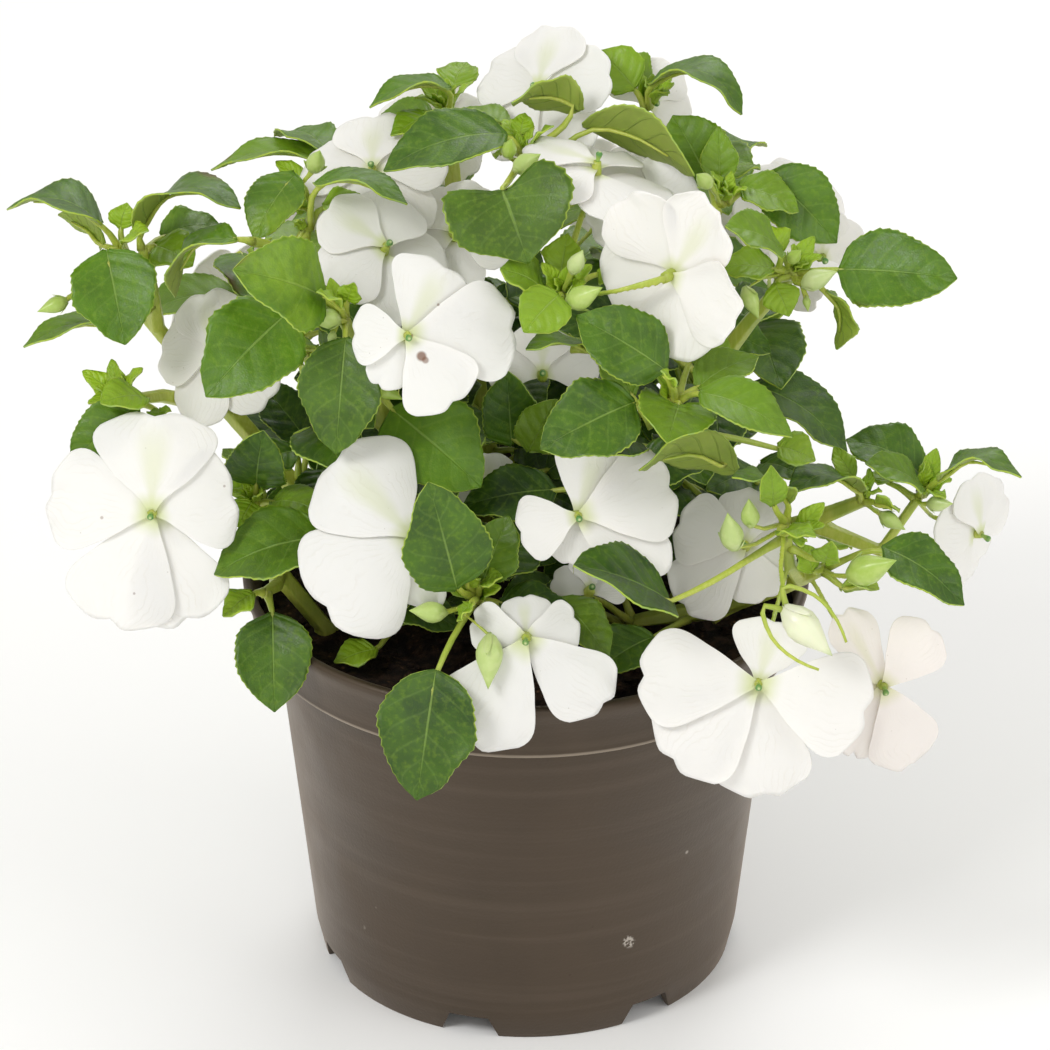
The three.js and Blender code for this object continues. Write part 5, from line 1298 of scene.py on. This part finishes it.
NET_ACROSS, NET_ALONG = np.meshgrid(np.linspace(-1, 1, 5), np.linspace(0, 1, 8))
NET_ROWS, NET_COLUMNS = NET_ACROSS.shape
NET_FACES = [
    [start, start + 1, start + NET_COLUMNS + 1, start + NET_COLUMNS]
    for row in range(NET_ROWS - 1) for start in range(row * NET_COLUMNS, (row + 1) * NET_COLUMNS - 1)
]
print("faces of the solids:", len(solid_faces))


def new_blade(seat, base, heading, looks, length, width, arch):
    right = unit(np.cross(heading, looks))
    up = np.cross(right, heading)

    def row(share, half):
        middle = base + heading * length * share + up * 4 * arch * length * share * (1 - share)
        edge = up * 0.12 * half
        return [middle - right * half + edge, middle, middle + right * half + edge]

    rows = [row(0, 0.5 * MM), row(0.2, 0.4 * width), row(0.48, 0.5 * width), row(0.76, 0.33 * width)]
    return {"rows": np.array(rows), "tip": base + heading * length, "foot": base, "seat": seat}


def net_of(blade, lift):
    points = carry(leaf_ladder(blade), NET_ACROSS.ravel(), NET_ALONG.ravel(), np.full(NET_ACROSS.size, lift))
    return BVHTree.FromPolygons([Vector(point) for point in points], NET_FACES)


def is_clear(blade, margin):
    for lift in (-margin, 0, margin):
        net = net_of(blade, lift)
        if net.overlap(solids) or any(net.overlap(other) for other in kept_nets):
            return False
    return True


def keep_net(blade):
    kept_nets.append(net_of(blade, 0))


# %% [markdown]
# ## Tufts in the crowns
#
# Where several stalks leave a stem close together there is a crown, and in it the youngest leaves stand as a
# yellow-green tuft. They grow in a spiral: each is a little longer, more open and a golden turn further round
# than the one inside it.

# %% A tuft of the youngest leaves in each crown
CROWN_REACH = 10 * MM
CROWN_SEATS = 3
TUFT_LEAVES = 9
TUFT_WIDTH = 0.55
TUFT_ARCH = 0.12
TUFT_ROOM = 0.15 * MM
TUFT_CLEAR_OF_CROWN = 1.5 * MM
GOLDEN_TURN = math.radians(137.5)


def crowns_of(blades):
    seats = [blade["seat"] for blade in blades]
    crowns = []
    while len(seats) >= CROWN_SEATS:
        groups = [[other for other in seats if np.linalg.norm(other - seat) < CROWN_REACH] for seat in seats]
        largest = max(groups, key=len)
        if len(largest) < CROWN_SEATS:
            break
        crowns.append(np.mean(largest, axis=0))
        seats = [seat for seat in seats if not any(seat is other for other in largest)]
    return crowns


def tuft(crown, chance):
    outward = np.array([crown[0], crown[1], 0.0])
    axis = unit(unit(outward) * 0.5 + np.array([0, 0, 1.0]) + np.array(away) * 0.35)
    first = unit(np.cross(axis, [0.3, 0.2, 1.0]))
    second = np.cross(axis, first)
    leaves = []
    for k in range(TUFT_LEAVES):
        turn = k * GOLDEN_TURN + chance.uniform(-0.3, 0.3)
        spread = 0.35 + 0.11 * k
        side = first * math.cos(turn) + second * math.sin(turn)
        heading = unit(axis + side * spread)
        length = (4.2 + 0.5 * k + chance.uniform(-0.5, 0.8)) * MM
        base = crown + axis * 1.2 * MM + side * (0.5 + 0.12 * k) * MM
        looks = unit(axis * spread - side * 0.4 + axis * 0.2)
        blade = new_blade(crown, base, heading, looks, length, length * TUFT_WIDTH, TUFT_ARCH)
        outer = dict(blade, rows=blade["rows"] + heading * TUFT_CLEAR_OF_CROWN)
        if is_clear(outer, TUFT_ROOM):
            keep_net(blade)
            leaves.append(set_marks(leaf_on(tuft_leaf, blade, "tuft", chance), chance.uniform(0.7, 1.0)))
    return leaves


# %% [markdown]
# ## Dark leaves inside the mound
#
# Under the canopy older leaves fill the inside of the plant, and without them the stems would stand bare.
# They are painted a deep green, as painted shade inside the mound.
# They are tried all over the lower stems. One is kept where the canopy hides it, or where only the potting
# mix, the pot or the plant's far side would be seen behind it, so that nothing in front is covered.

# %% Dark leaves inside the mound
INNER_TRIES = 12000
INNER_LEAVES = 175
INNER_LENGTHS = (13, 21)
INNER_WIDTHS = (0.62, 0.74)
INNER_STALKS = (4.0, 18.0)
INNER_ARCH = 0.08
INNER_ROOM = 0.7 * MM
INNER_SEATS = (140 * MM, 50 * MM)
MOUND = (88.5 * MM, 150 * MM, 62 * MM)
POT_MOUTH = (85.5 * MM, 50 * MM)
# left, right, low and high, as the eye meets them
INNER_WINDOW = (-54, 54, -36, 62)
SEEN_THROUGH = ("soil", "pot", "stem_far_side", "stem_right_rear", "bloom_inner", "bloom_far_side")


def in_the_dark(point):
    eye_place = EYE_AIM + away * EYE_DISTANCE
    sight = Vector(point) - eye_place
    place, _, face, distance = solids.ray_cast(eye_place, sight.normalized())
    if place is not None and distance < sight.length:
        return True
    across, up = as_seen(point)
    left, right, low, high = INNER_WINDOW
    inside = left < across < right and low < up < high
    return inside and (place is None or solid_owners[face].startswith(SEEN_THROUGH))


def inner_leaf(seat, normal, chance):
    outward = unit(np.array([chance.gauss(0, 1), chance.gauss(-0.5, 1), chance.uniform(-0.3, 0.5)]))
    spring = unit(normal + outward * 0.8 + np.array([0, 0, 0.5]))
    base = seat + spring * chance.uniform(*INNER_STALKS) * MM
    heading = unit(outward + spring * 0.3 - np.array([0, 0, 0.15]))
    length = chance.uniform(*INNER_LENGTHS) * MM
    looks = unit(np.array([0, 0, 0.8]) + np.array(away) * 0.9 + outward * 0.3)
    return new_blade(seat, base, heading, looks, length, length * chance.uniform(*INNER_WIDTHS), INNER_ARCH)


def is_inside(blade):
    points = np.concatenate([blade["rows"].reshape(-1, 3), blade["tip"][None], blade["foot"][None]])
    reach, level = np.hypot(points[:, 0], points[:, 1]), points[:, 2]
    foot, top, radius = MOUND
    in_mound = (level > foot) & (level < top) & (reach < radius)
    mouth_level, mouth_radius = POT_MOUTH
    in_mouth = (level > mouth_level) & (reach < mouth_radius)
    return bool(np.all(in_mound | in_mouth))


def inner_leaves(bare_stems, chance):
    found = {node: [] for node in bare_stems}
    seats = []
    top, radius = INNER_SEATS
    for node, stem in bare_stems.items():
        for vertex in stem.data.vertices:
            if vertex.co.z < top and math.hypot(vertex.co.x, vertex.co.y) < radius:
                seats.append((node, np.array(vertex.co), np.array(vertex.normal)))
    kept = 0
    for _ in range(INNER_TRIES):
        node, seat, normal = chance.choice(seats)
        blade = inner_leaf(seat, normal, chance)
        middle = blade["rows"][2, 1]
        if kept >= INNER_LEAVES or not is_inside(blade) or not in_the_dark(middle):
            continue
        if in_the_dark(blade["tip"]) and in_the_dark(blade["foot"]) and is_clear(blade, INNER_ROOM):
            keep_net(blade)
            name = f"inner_leaf_{kept}"
            leaf = leaf_on(full_leaf, blade, name, chance)
            stalk = leaf_stalk(blade, leaf_ladder(blade), name + "_stalk")
            # painted shade: inner leaves get a high share of the deep green
            dark = chance.uniform(0.55, 1.0)
            found[node] += [set_marks(leaf, 0.0, dark, chance.random()), set_marks(stalk, 0.0, dark)]
            kept += 1
    print("inner leaves:", kept)
    return found


# %% [markdown]
# ## Growing the plant
#
# Now each solid stem is read, its leaves, buds and tufts are grown, and the stem itself is smoothed. The
# inner leaves come last, when every bare stem is there to carry them. All that grows on a stem is joined to
# it, so that one finished piece takes the place of one solid.

# %% Grow every leafy stem
chance = random.Random(21)
stem_nodes = sorted(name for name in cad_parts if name.startswith("stem_"))
counts = {"leaves": 0, "buds": 0, "in tufts": 0}
bare_stems = {}
leafy = {}
for node in stem_nodes:
    solid = welded(node)
    blades = blades_in(solid, LEAF_ROWS)
    buds = buds_in(solid)
    pieces = []
    for i, blade in enumerate(blades):
        pieces += leaf_and_stalk(blade, f"leaf_{i}", chance)
    for i, (foot, heading, length, _) in enumerate(buds):
        pieces += bud_pieces(foot, heading, length, f"bud_{i}", chance)
    counts["leaves"] += len(blades)
    counts["buds"] += len(buds)
    for crown in crowns_of(blades):
        young = tuft(crown, chance)
        counts["in tufts"] += len(young)
        pieces += young
    bare_stems[node] = bare_stem(node, solid, blades, buds)
    solid.free()
    leafy[node] = pieces
print("leafy stems:", len(stem_nodes), counts)

# %% Add the inner leaves and join each stem
for node, inner in inner_leaves(bare_stems, chance).items():
    whole = join([bare_stems[node], *leafy[node], *inner], "leafy_" + node)
    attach(whole, "root")
    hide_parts(node)

# %% [markdown]
# ## The flowers
#
# A busy lizzie flower is flat: five broad petals lie in one plane round a tiny green column, one above and
# two pairs below. In the solid the petals already overlap in the right order, so each fine petal only has to
# be carried onto its own ladder. A short green neck behind the eye joins the petals to the flower stalk. One
# low bloom is old and flushed with pink, and one at the upper right is crumpled.

# %% Make every flower
PETAL_FOOT_DISTANCE = 1.9 * MM
EYE_LENGTH = 2.6 * MM
EYE_RADIUS = 0.72 * MM
EYE_DROOP = 0.35
NECK_BEHIND = 1.6 * MM
NECK_AHEAD = 0.3 * MM
NECK_RADII = (1.2 * MM, 1.3 * MM, 0.8 * MM)
# bloom: how pink, how crumpled
PINK_BLOOM = {"bloom_right_low": 0.6}
CRUMPLED_BLOOM = {"bloom_right_upper": 2.6}


def eye_of(blades):
    faces = []
    for blade in blades:
        across = blade["rows"][0, 2] - blade["rows"][0, 0]
        faces.append(np.cross(unit(across), unit(blade["tip"] - blade["foot"])))
    looks = unit(np.mean(unit(faces), axis=0))
    spots = []
    for blade in blades:
        across = blade["rows"][0, 2] - blade["rows"][0, 0]
        outward = unit(np.cross(looks, across))
        spots.append(blade["foot"] - outward * PETAL_FOOT_DISTANCE)
    spots = np.array(spots)
    depth = spots @ looks
    centre = spots.mean(axis=0)
    eye = centre + looks * (depth.max() - centre @ looks)
    return eye, looks, depth.max() - depth


def flower(node, chance):
    solid = welded(node)
    blades = blades_in(solid, PETAL_ROWS)
    solid.free()
    eye, looks, behind = eye_of(blades)
    pieces = []
    upper = int(np.argmax([blade["tip"][2] for blade in blades]))
    pink = PINK_BLOOM[node] if node in PINK_BLOOM else chance.uniform(0, 0.12)
    crumple = CRUMPLED_BLOOM.get(node, 1.0)
    for i, blade in enumerate(blades):
        petal = petal_on(flat_petal, blade, eye - looks * behind[i], f"petal_{i}", chance, crumple)
        pieces.append(set_marks(petal, float(i == upper), pink, chance.random()))
    back = eye - looks * (behind.max() + NECK_BEHIND)
    side = blades[0]["rows"][0, 2] - blades[0]["rows"][0, 0]
    neck = [back, (back + eye) / 2, eye + looks * NECK_AHEAD]
    pieces.append(set_marks(rod_along(straight_rod, neck, NECK_RADII, side, "neck")))
    droop = unit(looks - np.array([0, 0, EYE_DROOP]))
    pieces.append(set_marks(set_in_place(eye_column, "eye", eye, droop, EYE_LENGTH, EYE_RADIUS)))
    whole = join(pieces, node.replace("bloom", "flower"))
    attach(whole, "root")
    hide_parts(node)
    return len(blades)


bloom_nodes = sorted(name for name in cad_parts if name.startswith("bloom_"))
petal_count = sum(flower(node, chance) for node in bloom_nodes)
print("flowers:", len(bloom_nodes), "petals:", petal_count)

# %% [markdown]
# ## The pot
#
# The pot is moulded in one piece from thin brown-grey plastic: a tapering wall, a wider band at the top with
# a rolled lip, and seven short feet with gaps between them. Its wall is an outline spun round the axis. The
# gaps and the drain holes are cut with one joined cutter. The edges are softened first, while they are clean.

# %% Spin the wall
BAND_BOTTOM = 76.5
POT_STEPS = 112
POT_SOFTNESS = 0.3 * MM
POT_EDGE_ANGLE = math.radians(40)
POT_SMOOTH_ANGLE = math.radians(32)
# [radius, height], from the axis along the underside, up the outside and down the inside
POT_OUTLINE = (
    (0, 0), (6, 0), (6, 6), (42.4, 6), (42.4, 0), (44, 0), (45.6, 7), (53.2, BAND_BOTTOM),
    (56.6, BAND_BOTTOM), (57.3, 77.0), (57.3, 77.5), (59.1, 86.6), (59.9, 88.0), (60, 89.3), (59.3, 90),
    (58.3, 90), (57.9, 89.4), (58.0, 88.2), (56.1, 77.6), (52.1, BAND_BOTTOM), (44.5, 7.6), (0, 7.6),
)


def spun(name, outline, steps):
    piece = added(name, bpy.ops.mesh.primitive_circle_add, vertices=len(outline), radius=0.1)
    put_points(piece, [(radius * MM, 0, height * MM) for radius, height in outline])
    bpy.ops.object.mode_set(mode="EDIT")
    bpy.ops.mesh.select_all(action="DESELECT")
    bpy.ops.object.mode_set(mode="OBJECT")
    for edge in piece.data.edges:
        edge.select = all(piece.data.vertices[i].co.x < WELD for i in edge.vertices)
    bpy.ops.object.mode_set(mode="EDIT")
    bpy.ops.mesh.select_mode(type="EDGE")
    bpy.ops.mesh.delete(type="EDGE")
    bpy.ops.mesh.select_all(action="SELECT")
    bpy.ops.mesh.spin(steps=steps, angle=2 * math.pi, center=(0, 0, 0), axis=(0, 0, 1))
    bpy.ops.mesh.select_all(action="SELECT")
    bpy.ops.mesh.remove_doubles(threshold=WELD)
    bpy.ops.mesh.dissolve_degenerate(threshold=1e-7)
    bpy.ops.mesh.normals_make_consistent(inside=False)
    bpy.ops.object.mode_set(mode="OBJECT")
    return piece


pot = spun("nursery_pot", POT_OUTLINE, POT_STEPS)
soften = pot.modifiers.new("soft_edges", "BEVEL")
soften.width = POT_SOFTNESS
soften.segments = 2
soften.limit_method = "ANGLE"
soften.angle_limit = POT_EDGE_ANGLE
apply_modifiers(pot)
print("pot faces after the spin:", len(pot.data.polygons))

# %% Cut the gaps between the feet and the drain holes
FEET = 7
FOOT_TURN = math.radians(10)
GAP_SIZE = (8, 10.7, 6)
GAP_RING = 43.5
GAP_LEVEL = 2.0
GAP_FOOT_FLARE = 1.25
GAP_HEAD_FLARE = 0.8
HOLE_RING = 26
HOLE_RADIUS = 3.5
HOLE_LEVEL = 6.8
HOLE_DEPTH = 4


def on_ring(turn, radius, level):
    return Vector((math.cos(turn) * radius, math.sin(turn) * radius, level)) * MM


cutters = []
for i in range(FEET):
    gap_turn = FOOT_TURN + 2 * math.pi / FEET * (i + 0.5) - math.pi / 2
    spot = on_ring(gap_turn, GAP_RING, GAP_LEVEL)
    cutter = added("gap", bpy.ops.mesh.primitive_cube_add, size=1, location=spot, rotation=(0, 0, gap_turn))
    cutter.scale = [side * MM for side in GAP_SIZE]
    for corner in cutter.data.vertices:
        corner.co.y *= GAP_FOOT_FLARE if corner.co.z < 0 else GAP_HEAD_FLARE
    cutters.append(cutter)
    cutters.append(added(
        "hole", bpy.ops.mesh.primitive_cylinder_add, vertices=20, radius=HOLE_RADIUS * MM,
        depth=HOLE_DEPTH * MM, location=on_ring(FOOT_TURN + 2 * math.pi / FEET * i, HOLE_RING, HOLE_LEVEL),
    ))
cutter = join(cutters, "pot_cutter")
pick(cutter)
bpy.ops.object.transform_apply(location=True, rotation=True, scale=True)
cut = pot.modifiers.new("gaps_and_holes", "BOOLEAN")
cut.operation = "DIFFERENCE"
cut.solver = "EXACT"
cut.object = cutter
apply_modifiers(pot)
bpy.data.objects.remove(cutter)
pick(pot)
bpy.ops.object.shade_smooth_by_angle(angle=POT_SMOOTH_ANGLE)
print("pot faces:", len(pot.data.polygons))


# %% [markdown]
# ## The plastic of the pot
#
# The plastic is brown-grey and satin, and nearly even in colour. What makes it real is small: slow cloudy
# dulling, faint rings from the mould, fine rubs that run round and down, and dried splashes near the foot.
# Two
# bands are painted light: a painted shade on the wall just under the band, and a painted highlight along the
# band's lower edge.

# %% Pot finish
POT_DARK = paint(54, 44, 34)
POT_MAIN = paint(64, 53, 42)
POT_RING = paint(90, 79, 68)
POT_SPECK = paint(52, 40, 32)
POT_SPLASH = paint(196, 188, 176)
# painted shade on the wall under the band's overhang
POT_UNDER_BAND_SHADE = paint(34, 27, 22)
# painted highlight along the band's lower edge
POT_EDGE_HIGHLIGHT = paint(150, 138, 122)
POT_SCRATCH = paint(190, 182, 172)
# across, up and radius of the one scratched spot
SCRATCH = (21.0, -85.2, 1.6)


def pot_material():
    finish = Finish(
        "pot_plastic", Roughness=0.45, Specular_IOR_Level=0.5, Specular_Tint=(1.0, 0.84, 0.68, 1.0),
        Sheen_Weight=0.2, Sheen_Roughness=0.35, Sheen_Tint=(1.0, 0.78, 0.6, 1.0),
    )
    place = finish.place()
    cloud = finish.noise(place, 28.0, 4.0, 0.6)
    grain = finish.noise(place, 1600.0, 2.0)
    rings = finish.noise(finish.stretched(place, (0.12, 0.12, 5.0)), 90.0, 3.0)
    colour = finish.mix(finish.span(cloud, 0.3, 0.7), POT_DARK, POT_MAIN)
    colour = finish.mix(finish.span(rings, 0.45, 0.7, 0.0, 0.2), colour, POT_RING)
    speck = finish.span(finish.cells(place, 260.0), 0.09, 0.05)
    rare = finish.span(finish.noise(place, 60.0), 0.6, 0.66)
    colour = finish.mix(finish.times(speck, rare), colour, POT_SPECK)
    splash = finish.span(finish.cells(place, 150.0), 0.1, 0.05)
    few = finish.span(finish.noise(place, 47.0), 0.63, 0.68)
    colour = finish.mix(finish.times(splash, few, 0.5), colour, POT_SPLASH)
    over_band = finish.times(finish.minus(finish.parts(place)["Z"], BAND_BOTTOM * MM), 1 / MM)
    # painted shade: the wall just under the band is darkened where the band's overhang shades it
    under_band_shade = finish.times(finish.span(over_band, -3.0, -0.3), finish.span(over_band, 1.0, 0.3))
    colour = finish.mix(finish.times(under_band_shade, 0.55), colour, POT_UNDER_BAND_SHADE)
    # painted highlight: a light line along the band's lower edge
    edge = finish.times(finish.span(over_band, -0.1, 0.2), finish.span(over_band, 1.3, 0.7))
    colour = finish.mix(finish.times(edge, 0.75), colour, POT_EDGE_HIGHLIGHT)
    scratch = finish.times(finish.rod_mark(place, *SCRATCH), finish.span(grain, 0.45, 0.6))
    finish.to("Base Color", finish.mix(finish.times(scratch, 0.8), colour, POT_SCRATCH))
    finish.to("Roughness", finish.span(cloud, 0.35, 0.65, 0.38, 0.52))
    finish.bump(finish.plus(grain, finish.times(rings, 0.6)), 0.12 * MM, 0.35)
    return finish.material


pot.data.materials.append(pot_material())
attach(pot, "root")
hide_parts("pot")

# %% [markdown]
# ## The potting mix
#
# The mix is nearly black peat with brown crumbs and threads of bark. Its top is a grid drawn out to a disc
# and roughened; the rim is extruded down to make the root ball. A few hundred rough crumbs lie on it, each of
# only twenty faces, because so many are needed.

# %% The root ball
SOIL_TOP = 82
SOIL_RIM = 56.6
SOIL_STEPS = 90
LUMP_HEIGHT = 1.1
ROUGH_HEIGHT = 0.9
# level and radius of the steps in the ball's side, from the top down
BALL_LEVELS = ((78.4, 55.6), (77.9, 51.2), (7.9, 43.6))


def soil_height(x, y):
    lumps = math.sin(x / 5.3 + 1) * math.cos(y / 6.1) + 0.5 * math.sin((x + y) / 3.1)
    rough = noise.noise(Vector((x / 3.2, y / 3.2, 0))) * 1.1 + noise.noise(Vector((x, y, 4)) / 1.3) * 0.5
    settled = 1.0 - 0.8 * max(0.0, math.hypot(x, y) / SOIL_RIM - 0.8) * 5
    return SOIL_TOP + (LUMP_HEIGHT * lumps + ROUGH_HEIGHT * rough) * max(settled, 0.2) - 0.4


grid_add = bpy.ops.mesh.primitive_grid_add
soil = added("potting_mix", grid_add, x_subdivisions=SOIL_STEPS, y_subdivisions=SOIL_STEPS, size=2)
square = points_of(soil)
disc_x = square[:, 0] * np.sqrt(1 - square[:, 1] ** 2 / 2) * SOIL_RIM
disc_y = square[:, 1] * np.sqrt(1 - square[:, 0] ** 2 / 2) * SOIL_RIM
heights = [soil_height(x, y) for x, y in zip(disc_x, disc_y)]
put_points(soil, np.column_stack([disc_x, disc_y, heights]) * MM)
bpy.ops.object.mode_set(mode="EDIT")
bpy.ops.mesh.select_all(action="SELECT")
bpy.ops.mesh.region_to_loop()
for level, radius in BALL_LEVELS:
    bpy.ops.mesh.extrude_edges_move()
    bpy.ops.object.mode_set(mode="OBJECT")
    for vertex in soil.data.vertices:
        if vertex.select:
            flat = Vector((vertex.co.x, vertex.co.y)).normalized() * radius * MM
            vertex.co = (flat.x, flat.y, level * MM)
    bpy.ops.object.mode_set(mode="EDIT")
bpy.ops.mesh.edge_face_add()
bpy.ops.mesh.select_all(action="SELECT")
bpy.ops.mesh.normals_make_consistent(inside=False)
bpy.ops.object.mode_set(mode="OBJECT")
bpy.ops.object.shade_smooth()
print("root ball faces:", len(soil.data.polygons))

# %% Crumbs and bark threads
CRUMBS = 420
THREADS = 0.22
CRUMB_SIZES = (0.35, 1.3)
CRUMB_STRETCH = (1.2, 1.0, 0.7)
THREAD_STRETCH = (3.2, 0.4, 0.35)
plain_crumb = added("plain_crumb", bpy.ops.mesh.primitive_ico_sphere_add, subdivisions=1, radius=1)
crumb_points = points_of(plain_crumb)
crumbs = []
for i in range(CRUMBS):
    reach = SOIL_RIM * 0.98 * math.sqrt(chance.random())
    turn = chance.uniform(0, 2 * math.pi)
    x, y = reach * math.cos(turn), reach * math.sin(turn)
    form = THREAD_STRETCH if chance.random() < THREADS else CRUMB_STRETCH
    size = chance.uniform(*CRUMB_SIZES)
    rough = np.array([[chance.uniform(0.75, 1.25)] for _ in crumb_points])
    tilt = Matrix.Rotation(chance.uniform(-0.5, 0.5), 3, "X")
    tilt = tilt @ Matrix.Rotation(chance.uniform(0, 6.28), 3, "Z")
    shape = (crumb_points * rough * (size * np.array(form))) @ np.array(tilt)
    spot = [x, y, soil_height(x, y) + size * 0.2]
    crumbs.append(copy_of(plain_crumb, f"crumb_{i}", (shape + spot) * MM))
soil = join([soil, *crumbs], "potting_mix")
print("crumbs and threads:", len(crumbs))


# %% Soil finish
PEAT_DARK = paint(22, 16, 13)
PEAT_BROWN = paint(58, 42, 31)
BARK = paint(104, 76, 54)


def soil_material():
    finish = Finish("peat", Roughness=0.9, Specular_IOR_Level=0.2)
    place = finish.place()
    lump = finish.noise(place, 330.0, 4.0, 0.65)
    bit = finish.cells(place, 520.0)
    colour = finish.mix(finish.span(lump, 0.4, 0.66), PEAT_DARK, PEAT_BROWN)
    bark = finish.times(finish.span(bit, 0.3, 0.1), finish.span(lump, 0.5, 0.62))
    finish.to("Base Color", finish.mix(bark, colour, BARK))
    finish.bump(finish.plus(lump, finish.times(bit, 0.6)), 0.9 * MM, 0.9)
    return finish.material


soil.data.materials.clear()
soil.data.materials.append(soil_material())
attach(soil, "root")
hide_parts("soil")
print("soil faces:", len(soil.data.polygons))

# %% [markdown]
# ## Put the patterns away and finish
#
# The flat masters have done their work and are removed. The triangles that are shown are counted.

# %% Remove the masters and count the triangles
for master in (
    full_leaf, young_leaf, tuft_leaf, flat_petal, straight_rod, plain_bud, plain_sepal, eye_column,
    plain_crumb,
):
    bpy.data.objects.remove(master)
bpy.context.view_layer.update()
shown = [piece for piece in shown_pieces() if piece.type == "MESH"]
print("triangles shown:", sum(len(face.vertices) - 2 for piece in shown for face in piece.data.polygons))
